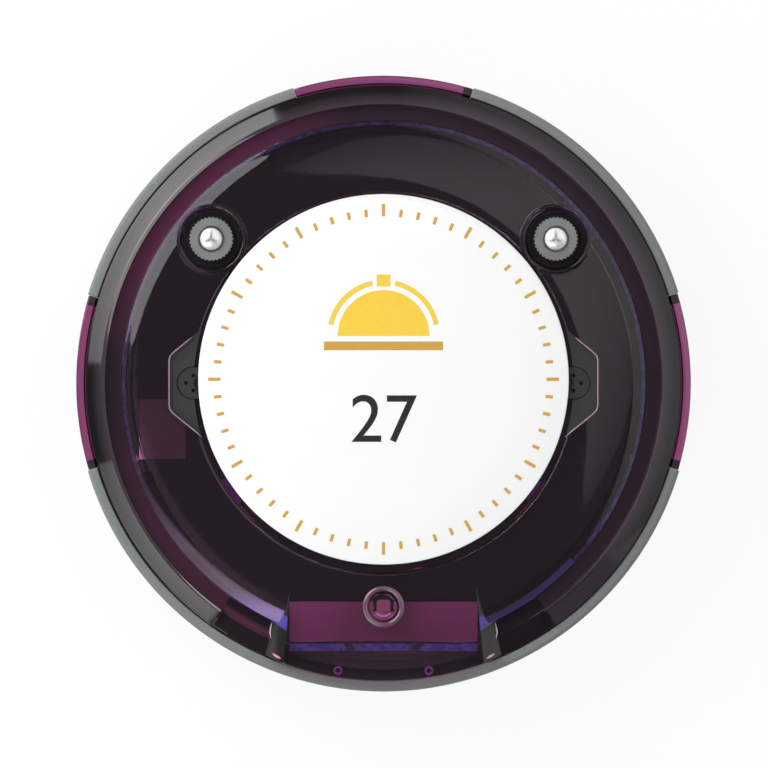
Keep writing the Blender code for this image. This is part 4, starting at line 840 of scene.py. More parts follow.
def coil(name, place, radius, wire, low, high, turns):
    """Round wire wound round an upright axis, between two heights of its middle line."""
    curve = bpy.data.curves.new(name, "CURVE")
    curve.dimensions = "3D"
    curve.bevel_depth = wire * MM
    curve.bevel_resolution = 2
    curve.use_fill_caps = True
    spline = curve.splines.new("POLY")
    count = 20 * turns
    spline.points.add(count)
    for i, point in enumerate(spline.points):
        x, y = at_angle(radius, 18 * i)
        point.co = ((place[0] + x) * MM, (place[1] + y) * MM, (low + (high - low) * i / count) * MM, 1.0)
    piece = bpy.data.objects.new(name, curve)
    bpy.context.collection.objects.link(piece)
    pick(piece)
    bpy.ops.object.convert(target="MESH")
    return bpy.context.active_object


def arc_points(centre, radius, start, end, count):
    """Points on an arc of a section, with its angles in degrees from the outward direction."""
    return [
        (
            centre[0] + radius * math.cos(math.radians(start + (end - start) * i / count)),
            centre[1] + radius * math.sin(math.radians(start + (end - start) * i / count)),
        )
        for i in range(count + 1)
    ]


def at_angle(radius, degrees):
    return radius * math.cos(math.radians(degrees)), radius * math.sin(math.radians(degrees))


def settle(piece, body, finishes, replaced=(), angle=32.0):
    """Give a piece its materials and body, hide the nodes that it stands for, and smooth its faces."""
    for finish in finishes:
        piece.data.materials.append(finish)
    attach(piece, body)
    if replaced:
        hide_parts(*replaced)
    if angle:
        smooth(piece, angle)


def zone(piece, chooser):
    """Choose each face's material by its place in millimetres and its normal."""
    for face in piece.data.polygons:
        face.material_index = chooser(face.center / MM, face.normal)


def dome_height(radius):
    share = (radius - RECESS_RADIUS) / (BEVEL_RADIUS - RECESS_RADIUS)
    return DOME_Z - DOME_DROP * share * share


def cover_section(edge):
    """Section of the cover, from the middle of the recess over the rim and back under it."""
    bevel_width = GROOVE_RADIUS - edge - BEVEL_RADIUS
    bevel_start, bevel_end = 0.2126, 0.5095
    dome = [
        (radius, dome_height(radius))
        for radius in [31.4 + (BEVEL_RADIUS - 31.4) * i / 12 for i in range(13)]
    ]
    bevel = []
    for i in range(1, 7):
        share = i / 6
        drop = bevel_width * (bevel_start * share + (bevel_end - bevel_start) / 2 * share * share)
        bevel.append((BEVEL_RADIUS + bevel_width * share, dome[-1][1] - drop))
    foot = 0.25
    shoulder = []
    for i in range(9):
        share = i / 8
        radius = SHOULDER_RADIUS + 0.2 + (CASE_RADIUS - SHOULDER_RADIUS - 0.4) * share
        height = SHOULDER_Z - (SHOULDER_Z - EDGE_Z) * share + 0.3 * share * (1 - share)
        shoulder.append((radius, height))
    return [
        (0.0, RECESS_Z),
        (RECESS_RADIUS - 0.15, RECESS_Z),
        (RECESS_RADIUS, RECESS_Z + 0.15),
        *arc_points((RECESS_RADIUS + 0.2, DOME_Z - 0.2), 0.2, 180, 95, 4),
        *dome,
        *bevel,
        *arc_points((GROOVE_RADIUS - edge, bevel[-1][1] - edge), edge, 62, 0, 4),
        *arc_points((GROOVE_RADIUS + foot, GROOVE_Z + foot), foot, 180, 270, 4),
        *arc_points((SHOULDER_RADIUS - foot, GROOVE_Z + foot), foot, 270, 360, 4),
        *arc_points((SHOULDER_RADIUS + 0.2, SHOULDER_Z - 0.2), 0.2, 180, 115, 3),
        *shoulder[1:],
        *arc_points((CASE_RADIUS - 0.2, EDGE_Z - 0.2), 0.2, 50, 0, 3),
        (CASE_RADIUS, SKIRT_Z),
        (SKIRT_RADIUS, SKIRT_Z),
        (SKIRT_RADIUS, SEAL_STEP_Z),
        (WALL_RADIUS, SEAL_STEP_Z),
        (WALL_RADIUS, GROOVE_UNDER_Z),
        (CAVITY_RADIUS, GROOVE_UNDER_Z),
        (CAVITY_RADIUS, COVER_UNDER_Z),
        (0.0, COVER_UNDER_Z),
    ]


def pad_half_width(y):
    return PAD_HALF_WIDTH + (PAD_START_Y - y) * PAD_SPLAY


def make_pad():
    """Flat window pad with sloping flanks, trimmed to the cover's ring."""
    low = GROOVE_UNDER_Z + 0.3
    extra = PAD_Z - low
    ends = []
    for y in (-RECESS_RADIUS, -CASE_RADIUS - 1):
        half = pad_half_width(y)
        ends.append([
            (-half - extra, y, low), (half + extra, y, low), (half, y, PAD_Z), (-half, y, PAD_Z),
        ])
    pad = loft("pad", *ends)
    ring = turn("pad room", [
        (RECESS_RADIUS + 0.4, COVER_UNDER_Z + 0.3), (BEVEL_RADIUS + 0.6, COVER_UNDER_Z + 0.3),
        (BEVEL_RADIUS + 0.6, low - 0.2), (CASE_RADIUS - 0.25, low - 0.2),
        *arc_points((CASE_RADIUS - 0.25, PAD_Z - 0.25), 0.25, 0, 90, 3),
        (RECESS_RADIUS + 0.4, PAD_Z + 1),
    ], steps=192)
    shape_by(pad, [ring], "INTERSECT")
    soften(pad, 0.12, 3)
    return pad


def in_lug(x, y):
    reach = abs(x)
    return 30.0 < reach < 34.9 and abs(y) < 9.5 and math.hypot(x, y) > RECESS_RADIUS - 0.6


def cover_zone(centre, normal):
    """Clear dome, smoked shoulder, groove, lug floors, apron, backing, flanks, key ring and two bevels."""
    radius = math.hypot(centre.x, centre.y)
    angle = math.degrees(math.atan2(centre.y, centre.x)) % 360
    in_front = APRON_SPAN[0] - 0.5 < angle < APRON_SPAN[1] + 0.5
    if in_lug(centre.x, centre.y) and 17.7 < centre.z < RECESS_Z + 0.02 and normal.z > 0.9:
        return LUG_FLOOR
    if radius > SHOULDER_RADIUS - 0.02 and not in_front and normal.z > -0.5:
        return SHOULDER
    in_groove = GROOVE_RADIUS - 0.02 < radius < SHOULDER_RADIUS and centre.z < 17.0
    if in_groove and not in_front and normal.z > 0.05:
        return GROOVE
    if in_front and normal.z < -0.5 and radius > GROOVE_RADIUS + 0.7:
        return BACKING
    flank = abs(normal.x) > 0.3 and 0.3 < normal.z < 0.95
    if in_front and flank and abs(centre.x) > PAD_HALF_WIDTH - 0.1 and centre.y < PAD_START_Y + 3.5:
        return FLANK
    on_bevel = BEVEL_RADIUS - 0.02 < radius < GROOVE_RADIUS - 0.02 and normal.z > 0.3
    if on_bevel and centre.x > PAD_HALF_WIDTH + 0.3 and 285.0 < angle < VIOLET_END:
        return VIOLET_BEVEL
    if on_bevel and centre.x < -PAD_HALF_WIDTH - 0.3 and 200.0 < angle < 255.0:
        return LAVENDER_BEVEL
    key_reach = math.hypot(centre.x, centre.y - KEY_Y)
    raised = centre.z > DOME_Z or (centre.z > PAD_Z + 0.01 and normal.z < 0.97)
    if KEY_HOLE_RADIUS - 0.05 < key_reach < GUARD_RADIUS + 0.01 and raised:
        return KEY_RING
    if in_front and radius > GROOVE_RADIUS and abs(centre.x) > PAD_HALF_WIDTH + 1.0:
        return APRON
    return CLEAR


def make_cover(shell):
    """Cover with wells, lugs, vents, pad, guard ring, bosses and peg holes."""
    cover = turn("cover_shell", cover_section(shell.corner_round / MM), steps=shell.steps)
    cut(cover, sweep("apron room", [
        (43.6, GROOVE_Z + 0.3), (CASE_RADIUS + 1, EDGE_Z - 0.1),
        (CASE_RADIUS + 1, SHOULDER_Z + 1), (43.6, SHOULDER_Z + 1),
    ], *APRON_SPAN, 48))
    cut(cover, *[
        turn(f"well room {i}", [
            (0.0, WELL_FLOOR_Z - 0.1), (5.3, WELL_FLOOR_Z - 0.1), (5.3, WELL_RIM_Z - 0.3),
            (WELL_RIM_RADIUS + 0.14, WELL_RIM_Z - 0.25), (WELL_RIM_RADIUS + 0.3, WELL_RIM_Z + 0.6),
            (0.0, 21.0),
        ], place, 64)
        for i, place in enumerate(CONTACT_PLACES)
    ])
    weld(cover, *[
        turn(f"well wall {i}", [
            (0.0, COVER_UNDER_Z + 0.3), (WELL_RIM_RADIUS, COVER_UNDER_Z + 0.3),
            *arc_points((WELL_RIM_RADIUS - 0.32, WELL_RIM_Z - 0.32), 0.32, 0, 180, 8),
            *arc_points((WELL_RADIUS - 0.2, WELL_FLOOR_Z + 0.2), 0.2, 360, 270, 3), (0.0, WELL_FLOOR_Z),
        ], place, 64)
        for i, place in enumerate(CONTACT_PLACES)
    ])
    weld(cover, make_pad())
    guard_mid = (GUARD_RADIUS + KEY_HOLE_RADIUS) / 2
    tube = (GUARD_RADIUS - KEY_HOLE_RADIUS) / 2
    weld(cover, turn("guard", [
        (0.0, COVER_UNDER_Z + 0.3), (GUARD_RADIUS, COVER_UNDER_Z + 0.3),
        *arc_points((guard_mid, GUARD_TOP_Z - tube), tube, 0, 180, 10), (0.0, GUARD_TOP_Z - tube),
    ], (0.0, KEY_Y), 64))
    weld(cover, *[rod(f"boss {i}", 2.4, 12.0, 16.7, place, 32) for i, place in enumerate(SCREW_PLACES)])
    holes = [
        rod(f"sleeve hole {i}", SLEEVE_HOLE_RADIUS, 15.0, 18.0, place, 48)
        for i, place in enumerate(CONTACT_PLACES)
    ]
    holes += [rod(f"pilot {i}", 1.3, 10.7, 16.1, place, 24) for i, place in enumerate(SCREW_PLACES)]
    holes.append(rod("key hole", KEY_HOLE_RADIUS, 15.4, GUARD_TOP_Z + 1, (0.0, KEY_Y), 64))
    for angles in PEG_ANGLES.values():
        for angle in angles:
            holes.append(turn(f"peg hole {angle}", [
                (0.0, 8.4), (0.65, 8.4), (0.65, 10.7), (0.5, 10.9), (0.0, 10.9),
            ], at_angle(PEG_CIRCLE_RADIUS, angle), 24))
    cut(cover, *holes)
    cut(cover, box_slab("pocket", (-15.75, -43.5, 12.8), (15.75, -36.9, 16.3)))
    cut(cover, *[
        slab(f"lug room {side}", [(side * x, y) for x, y in LUG_OUTLINE], RECESS_Z, DOME_Z + 1)
        for side in SIDES
    ])
    cut(cover, *[
        turn(f"vent room {side}", [
            (0.0, RECESS_Z - 0.3), (2.6, RECESS_Z - 0.3), (2.7, RECESS_Z - 0.2), (2.7, RECESS_Z + 0.5),
            (0.0, RECESS_Z + 0.5),
        ], (side * VENT_X, 0.0), 48)
        for side in SIDES
    ])
    cut(cover, *[
        rod(f"sound hole {side} {angle}", 0.33, 15.4, 18.6,
            (side * VENT_X + at_angle(1.2, angle)[0], at_angle(1.2, angle)[1]), 16)
        for side in SIDES for angle in (0, 90, 180, 270)
    ])
    return cover


def colour_field(name, description, default):
    """Property that holds a colour."""
    return bpy.props.FloatVectorProperty(
        name=name, description=description, default=default, size=3, min=0.0, max=1.0, subtype="COLOR",
    )


def length_field(name, description, default, least, most):
    """Property that holds a length in metres."""
    return bpy.props.FloatProperty(
        name=name, description=description, default=default, min=least, max=most,
        subtype="DISTANCE", unit="LENGTH",
    )


class PagerShell(bpy.types.PropertyGroup):
    """Shell sizes and tints."""

    steps: bpy.props.IntProperty(
        name="Facets", description="Facets round the shell", default=192, min=48, max=384,
    )
    corner_round: length_field(
        "Groove corner", "Round of the corner above the stacking groove", 0.22 * MM, 0.05 * MM, 0.4 * MM,
    )
    tint: colour_field("Shell tint", "Tint of the clear shell", (0.67, 0.39, 0.59))
    smoked: colour_field("Shoulder tint", "Tint of the smoked shoulder", (0.043, 0.030, 0.039))
    groove: colour_field("Groove tint", "Tint of the frosted groove", (0.021, 0.009, 0.018))
    apron: colour_field("Apron tint", "Tint of the apron before the number strip", (0.011, 0.006, 0.010))


class PagerRim(bpy.types.PropertyGroup):
    """Bumper and window sizes and colours."""

    rubber: colour_field("Bumper colour", "Colour of the bumper rubber", (0.185, 0.200, 0.191))
    window: colour_field("Window tint", "Tint of the light windows", (0.25, 0.055, 0.16))
    roundness: length_field(
        "Bumper round", "Round of the bumpers' outer edges", 0.75 * MM, 0.2 * MM, 0.9 * MM,
    )


class PagerLabel(bpy.types.PropertyGroup):
    """Label colours and its number."""

    paper: colour_field("Label colour", "Colour of the label", (0.93, 0.93, 0.925))
    amber: colour_field("Amber ink", "Colour of the printed bell", (0.91, 0.62, 0.06))
    gold: colour_field("Gold ink", "Colour of the printed ticks", (0.62, 0.36, 0.06))
    charcoal: colour_field("Charcoal ink", "Colour of the printed number", (0.012, 0.012, 0.013))
    number: bpy.props.IntProperty(
        name="Number", description="Plain number printed on the label", default=27, min=0, max=99,
    )


class PagerContacts(bpy.types.PropertyGroup):
    """Charging contact sizes and colours."""

    teeth: bpy.props.IntProperty(
        name="Teeth", description="Knurl teeth round each bush", default=34, min=12, max=60,
    )
    washer: colour_field("Bush colour", "Colour of the matte knurled bushes", (0.30, 0.30, 0.305))
    chrome: colour_field("Chrome colour", "Colour of the contact domes", (0.93, 0.92, 0.94))


class PagerStage(bpy.types.PropertyGroup):
    """Studio floor, lamps and camera."""

    floor: colour_field("Floor colour", "Colour of the floor", (0.9, 0.9, 0.9))
    lamp_level: bpy.props.FloatProperty(
        name="Lamp level", description="Share of every lamp's planned radiance",
        default=0.53, min=0.0, max=4.0,
    )
    room_level: bpy.props.FloatProperty(
        name="Room level", description="Radiance of the dim room round the object",
        default=0.19, min=0.0, max=2.0,
    )
    field: length_field("Field", "Width that the picture spans at the rim", 124.19 * MM, 50 * MM, 500 * MM)
    distance: length_field("Camera distance", "From the camera down to the rim", 1.5, 0.3, 5.0)


class PAGER_OT_cover(bpy.types.Operator):
    """Model the clear top cover"""

    bl_idname = "pager.cover"
    bl_label = "Top cover"

    def execute(self, context):
        shell = context.scene.pager_shell
        cover = make_cover(shell)
        if not volume(cover.data) > COVER_VOLUME / 2:
            raise RuntimeError("the top cover came out without its body")
        settle(cover, "pager", [
            clear_plastic("clear magenta shell", shell.tint),
            smoked_plastic("smoked shoulder", shell.smoked),
            # the groove's last colour is painted light, the stronger magenta of its lit left quarters
            groove_plastic("frosted groove", shell.groove, (0.090, 0.014, 0.052)),
            moulded_plastic("matte lug floor", (0.022, 0.0225, 0.022), 0.5),
            # the apron's last colour is painted light, the stronger magenta along its left side
            apron_plastic("dark apron", shell.apron, (0.072, 0.021, 0.042)),
            moulded_plastic("front backing", (0.018, 0.015, 0.016), 0.6),
            flank_plastic("smoked flank", (0.010, 0.011, 0.010), (0.075, 0.05, 0.30)),
            moulded_plastic("glossy key ring", (0.13, 0.058, 0.098), 0.12, 1.5, 0.01, 1.0),
            edge_plastic("violet bevel", (0.010, 0.008, 0.009), (0.046, 0.029, 0.095)),
            crescent_plastic("lavender bevel", (0.010, 0.008, 0.009)),
        ], ["top_cover"], 28.0)
        zone(cover, cover_zone)
        return {"FINISHED"}


def case_section():
    """Section of the bottom case."""
    return [
        (0.0, 3.6), (41.26, 3.6), (41.5, 2.3), *arc_points((41.9, 1.4), 0.2, 180, 270, 2),
        *arc_points((42.41, 1.4), 0.2, 270, 360, 2), (42.61, 2.4), (44.71, 2.4), (44.71, 1.35),
        (44.86, 1.2), (45.01, 1.2), (47.9, 4.0), (48.1, 4.3), (48.1, 8.0), (46.5, 8.0), (46.5, SHELF_Z),
        (45.8, SHELF_Z), (45.8, 10.85), (45.65, 11.0), (44.85, 11.0), (44.7, 10.85), (44.7, 4.4), (44.4, 4.1),
        (42.01, 4.1), (42.01, 5.1), (41.8, 5.3), (0.0, 5.3),
    ]


class PAGER_OT_case(bpy.types.Operator):
    """Model the bottom case with its bosses, ribs and holes"""

    bl_idname = "pager.case"
    bl_label = "Bottom case"

    def execute(self, context):
        shell = context.scene.pager_shell
        case = turn("case_shell", case_section(), steps=shell.steps)
        added = [
            turn(f"case boss {i}", [
                (0.0, 5.0), (3.9, 5.0), (3.5, 5.6), (3.5, 10.2), (3.3, 10.4), (0.0, 10.4),
            ], place, 40)
            for i, place in enumerate(SCREW_PLACES)
        ]
        added += [
            box_slab("battery rib", (-7.0, low, 5.0), (7.0, high, 7.5))
            for low, high in ((-20.3, -19.3), (19.3, 20.3))
        ]
        added.append(box_slab("motor post", (-37.05, -9.1, 5.0), (-34.05, -3.5, 8.95)))
        weld(case, *added)
        holes = [
            turn(f"screw room {i}", [
                (0.0, 2.6), (2.6, 2.6), (2.6, 3.5), (2.4, 3.75), (2.4, 5.5), (1.3, 5.5),
                (1.3, 11.7), (0.0, 11.7),
            ], place, 40)
            for i, place in enumerate(SCREW_PLACES)
        ]
        holes += [
            turn(f"stud room {side}", [
                (0.0, 2.6), (3.7, 2.6), (3.5, 3.75), (3.5, 4.3), (1.3, 4.3), (1.3, 6.3), (0.0, 6.3),
            ], (side * CONTACT_X, CONTACT_Y), 40)
            for side in SIDES
        ]
        cut(case, *holes)
        cut(case, box_slab("pad notch", (-19.49, -49.1, 0.2), (19.49, -36.2, 2.5)))
        settle(case, "pager", [
            clear_plastic("clear magenta case", scaled(shell.tint, 0.8), 0.06),
        ], ["bottom_case"], 28.0)
        return {"FINISHED"}


def rim_section(outer, low, high, roundness, crown, lip):
    """Section of a rim piece with the rib that the shells hold and the lip that meets the cover."""
    inner = BUMPER_INNER_RADIUS
    rib = CASE_RADIUS - 1.3
    middle = (low + high) / 2
    face = [
        (outer - crown * ((height - middle) / (high - low) * 2) ** 2, height)
        for height in [high - roundness + (low - high + 2 * roundness) * i / 6 for i in range(7)]
    ]
    top_in = face[0][0] - roundness
    return [
        (lip, high - 0.12), (lip + 0.12, high),
        *arc_points((top_in, high - roundness), roundness, 90, 0, 6)[:-1],
        *face,
        *arc_points((top_in, low + roundness), roundness, 0, -90, 6)[1:],
        (inner, low), (inner, 8.3), (rib + 0.1, 8.3), (rib, 8.4), (rib, SHELF_Z - 0.1), (rib + 0.1, SHELF_Z),
        (inner, SHELF_Z), (inner, 12.7), (lip - 0.01, 13.0),
    ]


def window_zone(start, end):
    """Chooser of a light window's clear face, and of its dark inner lip and end blocks, the end blocks being
    painted shade in the notches beside the bumpers.
    """
    middle = (start + end) / 2

    def choose(centre, normal):
        radius = math.hypot(centre.x, centre.y)
        angle = math.degrees(math.atan2(centre.y, centre.x))
        away = abs((angle - middle + 180) % 360 - 180)
        lip = radius < BUMPER_INNER_RADIUS + 0.36 and normal.z > 0.4
        return 1 if lip or away > (end - start) / 2 else 0

    return choose


class PAGER_OT_rim(bpy.types.Operator):
    """Model the bumpers and the light windows"""

    bl_idname = "pager.rim"
    bl_label = "Bumpers and windows"

    def execute(self, context):
        rim = context.scene.pager_rim
        rubber = bumper_rubber("grey bumper rubber", rim.rubber)
        section = rim_section(49.98, 3.45, 15.38, rim.roundness / MM, 0.08, BUMPER_LIP_RADIUS)
        for name, (start, end) in BUMPER_SPANS.items():
            bumper = sweep(name + "_skin", section, start, end, round((end - start) / 1.6))
            soften(bumper, 0.22, 3, 50.0)
            weld(bumper, *[
                turn(f"peg {angle}", [(0.0, 8.7), (0.35, 8.7), (0.35, 10.4), (0.15, 10.6), (0.0, 10.6)],
                     at_angle(PEG_CIRCLE_RADIUS, angle), 20)
                for angle in PEG_ANGLES[name]
            ])
            settle(bumper, "pager", [rubber], [name], 35.0)
        clear = clear_plastic("magenta light window", rim.window, 0.05)
        dark = moulded_plastic("dark window lip and painted end shade", (0.02, 0.008, 0.014), 0.4)
        section = rim_section(49.78, 3.65, 15.18, 0.3, 0.06, BUMPER_INNER_RADIUS)
        for name, (start, end) in WINDOW_SPANS.items():
            room = WINDOW_ENDS[name]
            window = sweep(
                name + "_lens", section, start - room[0], end + room[1], round((end - start) / 1.6),
            )
            soften(window, 0.15, 2, 50.0)
            settle(window, "pager", [clear, dark], [name], 35.0)
            zone(window, window_zone(start, end))
        return {"FINISHED"}


class PAGER_OT_foot(bpy.types.Operator):
    """Model the rubber foot"""

    bl_idname = "pager.foot"
    bl_label = "Rubber foot"

    def execute(self, context):
        inner, outer = 42.91, 44.41
        foot = sweep("foot_tread", [
            (inner, 2.1), (inner, 0.3), *arc_points((inner + 0.3, 0.3), 0.3, 200, 270, 3),
            (inner + 0.6, 0.02), (inner + 0.68, 0.12), (outer - 0.68, 0.12), (outer - 0.6, 0.02),
            *arc_points((outer - 0.3, 0.3), 0.3, 270, 340, 3), (outer, 0.3), (outer, 2.1),
        ], -62.5, 242.5, 170)
        soften(foot, 0.12, 2, 60.0)
        settle(foot, "pager", [black_rubber("foot rubber")], ["foot_ring"])
        return {"FINISHED"}


def bell_outline():
    """Half outline of a counter bell's dome, as points round its middle."""
    return [at_angle(7.4, 180 * i / 32) for i in range(33)]


def print_shape(name, outlines, centre, ink):
    """Thin printed shape on the label, from its outlines."""
    shape = merged([
        slab(f"{name} {i}", [(x + centre[0], y + centre[1]) for x, y in outline], *PRINT_LEVELS)
        for i, outline in enumerate(outlines)
    ], name)
    settle(shape, "pager", [ink], angle=20.0)


def ring_sector(inner, outer, start, end, count):
    """Outline of a part of a ring."""
    near = [at_angle(inner, start + (end - start) * i / count) for i in range(count + 1)]
    far = [at_angle(outer, end + (start - end) * i / count) for i in range(count + 1)]
    return near + far


class PAGER_OT_label(bpy.types.Operator):
    """Model the label and its plain printing"""

    bl_idname = "pager.label"
    bl_label = "Label"

    def execute(self, context):
        label = context.scene.pager_label
        middle = (0.0, 0.6)
        paper = turn("label_face", [
            (0.0, 18.4), (29.8, 18.4), (29.9, 18.5), *arc_points((29.75, 18.6), 0.15, 0, 90, 4),
            (20.0, 18.75), (10.0, 18.75), (0.0, 18.75),
        ], middle, 192)
        settle(paper, "pager", [label_paper("white label", label.paper)], ["label_disc"])
        amber = printing_ink("amber ink", label.amber)
        gold = printing_ink("gold ink", label.gold)
        charcoal = printing_ink("charcoal ink", label.charcoal)
        print_shape("label_bell", [
            bell_outline(), ring_sector(8.3, 9.1, 12, 78, 16), ring_sector(8.3, 9.1, 102, 168, 16),
            [(-1.1, 8.0), (1.1, 8.0), (1.1, 9.9), (-1.1, 9.9)],
        ], (0.0, 7.6), amber)
        print_shape("label_bell_base", [
            [(-9.6, -2.3), (9.6, -2.3), (9.6, -0.9), (-9.6, -0.9)],
        ], (0.0, 7.6), gold)
        print_shape("label_ticks", [
            ring_sector(26.3, 27.5 if i % 5 else 28.3, 6 * i - 0.55, 6 * i + 0.55, 1) for i in range(60)
        ], middle, gold)
        self.print_number(label.number, charcoal)
        return {"FINISHED"}

    def print_number(self, number, ink):
        """Plain number in thin lettering below the bell."""
        let_go()
        bpy.ops.object.text_add()
        text = bpy.context.active_object
        text.name = "label_number"
        text.data.body = f"{number:02d}"
        text.data.size = 11.0 * MM
        text.data.align_x = "CENTER"
        text.data.align_y = "CENTER"
        text.data.extrude = NUMBER_HALF_DEPTH * MM
        text.location = (0.0, -6.2 * MM, NUMBER_Z * MM)
        pick(text)
        bpy.ops.object.convert(target="MESH")
        bpy.ops.object.transform_apply(location=True, rotation=True, scale=True)
        shape = bpy.context.active_object
        bpy.ops.object.mode_set(mode="EDIT")
        bpy.ops.mesh.select_all(action="SELECT")
        bpy.ops.mesh.remove_doubles(threshold=WELD)
        bpy.ops.object.mode_set(mode="OBJECT")
        settle(shape, "pager", [ink], angle=None)


class PAGER_OT_contacts(bpy.types.Operator):
    """Model the charging contacts, their seals and the studs under the case"""

    bl_idname = "pager.contacts"
    bl_label = "Charging contacts"

    def execute(self, context):
        contacts = context.scene.pager_contacts
        washer = worn_metal("matte knurled bush", contacts.washer, 0.5, (CONTACT_X, CONTACT_Y))
        chrome = chrome_dome("chrome dome", contacts.chrome)
        rubber = black_rubber("seal rubber")
        brass = worn_metal("brass stud", (0.70, 0.52, 0.24), 0.28, (CONTACT_X, CONTACT_Y))
        steel = worn_metal("bright spring steel", (0.55, 0.55, 0.57), 0.25)
        for side, place in zip(("left", "right"), CONTACT_PLACES):
            self.make_bush(side, place, contacts.teeth, washer)
            self.make_pin(side, place, chrome)
            self.make_springs(side, place, steel)
            self.make_seal(side, place, rubber)
            self.make_stud(side, place, brass)
        return {"FINISHED"}

    def make_bush(self, side, place, count, finish):
        """Knurled bush with its sleeve and its bore."""
        teeth = []
        for tooth in range(count):
            base = 360 * tooth / count
            for radius, turn_by in ((3.36, -0.5), (3.4, -0.32), (3.56, -0.12), (3.58, 0.12), (3.4, 0.32)):
                dx, dy = at_angle(radius, base + turn_by * 360 / count)
                teeth.append((place[0] + dx, place[1] + dy))
        bush = slab(f"bush_{side}", teeth, 18.15, 18.85)
        weld(bush, rod("sleeve", 2.95, 13.65, 18.5, place, 48))
        cut(bush, turn("bore", [
            (0.0, 12.0), (2.5, 12.0), (2.5, 16.85), (2.1, 16.85), (2.1, 18.7), (2.3, 18.9),
            (2.3, 20.0), (0.0, 20.0),
        ], place, 48))
        settle(bush, "pager", [finish], [f"contact_bush_{side}"], 30.0)

    def make_pin(self, side, place, finish):
        """Sprung pin with its domed tip and its collar."""
        dome = [
            (1.8 * math.sin(math.pi / 2 * i / 14), 18.85 + 1.1 * math.cos(math.pi / 2 * i / 14))
            for i in range(15)
        ]
        pin = turn(f"pin_{side}", [
            *dome, (1.8, 16.6), (1.85, 16.55), (2.15, 16.55), (2.2, 16.5), (2.2, 15.6), (2.15, 15.55),
            (0.9, 15.55), (0.9, 13.4), (0.8, 13.3), (0.0, 13.3),
        ], place, 48)
        settle(pin, f"{side}_contact", [finish], [f"contact_pin_{side}"], 40.0)

    def make_springs(self, side, place, finish):
        """Spring as two nested coils, the upper one riding on the pin."""
        lower = coil(f"spring_lower_{side}", place, 1.9, 0.16, 12.28, 14.4, 4)
        settle(lower, "pager", [finish], [f"contact_spring_{side}"], 60.0)
        upper = coil(f"spring_upper_{side}", place, 1.35, 0.16, 13.25, 15.37, 4)
        settle(upper, f"{side}_contact", [finish], angle=60.0)

    def make_seal(self, side, place, finish):
        """Ribbed rubber ring under the bush."""
        seal = turn(f"seal_{side}", [
            (3.25, 17.35), (4.68, 17.35), (4.68, 17.7), *arc_points((4.53, 17.7), 0.15, 0, 90, 3),
            (4.2, 17.85), (4.1, 17.75), (3.9, 17.75), (3.8, 17.85), (3.25, 17.85),
        ], place, 64)
        settle(seal, "pager", [finish], [f"contact_seal_{side}"])

    def make_stud(self, side, place, finish):
        """Charging stud under the case."""
        stud = turn(f"stud_{side}", [
            (0.0, 3.4), (2.9, 3.4), *arc_points((2.95, 3.65), 0.25, 270, 360, 4), (3.2, 4.0), (1.0, 4.0),
            (1.0, 10.6), (0.0, 10.6),
        ], place, 48)
        settle(stud, "pager", [finish], [f"base_contact_{side}"])


class PAGER_OT_key(bpy.types.Operator):
    """Model the push key with the marks that show in it: a painted shadow arch, a magenta core and a painted
    highlight cup
    """

    bl_idname = "pager.key"
    bl_label = "Push key"

    def execute(self, context):
        place = (0.0, KEY_Y)
        cap_top = GUARD_TOP_Z - 0.25
        cap = turn("key_cap", [
            (0.0, cap_top - 0.14), (1.9, cap_top - 0.14), (2.0, cap_top - 0.1),
            *arc_points((2.1, cap_top - 0.1), 0.1, 150, 0, 5), (2.2, 16.2), (2.25, 16.1),
            (2.85, 16.1), (2.9, 16.05), (2.9, 15.55), (2.85, 15.5), (1.4, 15.5), (1.4, 14.3),
            (1.3, 14.2), (0.0, 14.2),
        ], place, 64)
        magenta = key_plastic("magenta key", (0.135, 0.026, 0.085), 0.75)
        settle(cap, "key", [magenta], ["power_key"], 35.0)
        level = cap_top - 0.13
        # painted shadow: a dark arch where the gap round the key's stem lies in shade
        dark = black_rubber("painted shadow key arch")
        leg = [(1.15, -0.75), (1.85, -0.75), (1.85, -0.5), (1.52, -0.38), (1.6, 0.5)]
        crown = [at_angle(1.88, angle) for angle in range(32, 150, 6)]
        inside = [(-1.15, 0.85), (-0.9, 1.22), (0.9, 1.22), (1.15, 0.85)]
        mirrored = [(-x, y) for x, y in reversed(leg)]
        self.mark("key_shadow_arch", [leg + crown + mirrored + inside], level, "black_frame", dark)
        core = [(-1.02, -0.7), (1.02, -0.7), (1.08, 0.8), (0.86, 1.14), (-0.86, 1.14), (-1.08, 0.8)]
        self.mark("key_core", [core], level, "clear_shell", printing_ink("key core", (0.16, 0.028, 0.09)))
        # painted highlight: a pink cup along the lower edge of the key's stem
        cup = ring_sector(1.36, 1.68, 222, 318, 20)
        self.mark("key_highlight_cup", [cup], level, "clear_shell", printing_ink("pink painted highlight cup", (0.40, 0.08, 0.24)))
        return {"FINISHED"}

    def mark(self, name, outlines, level, slot, finish):
        """Thin shape that shows in the key: a painted shadow, a painted highlight or the key's core colour.
        """
        for outline in outlines:
            shape = slab(name, [(x, y + KEY_Y) for x, y in outline], level, level + 0.05)
            settle(shape, "key", [finish], angle=20.0)


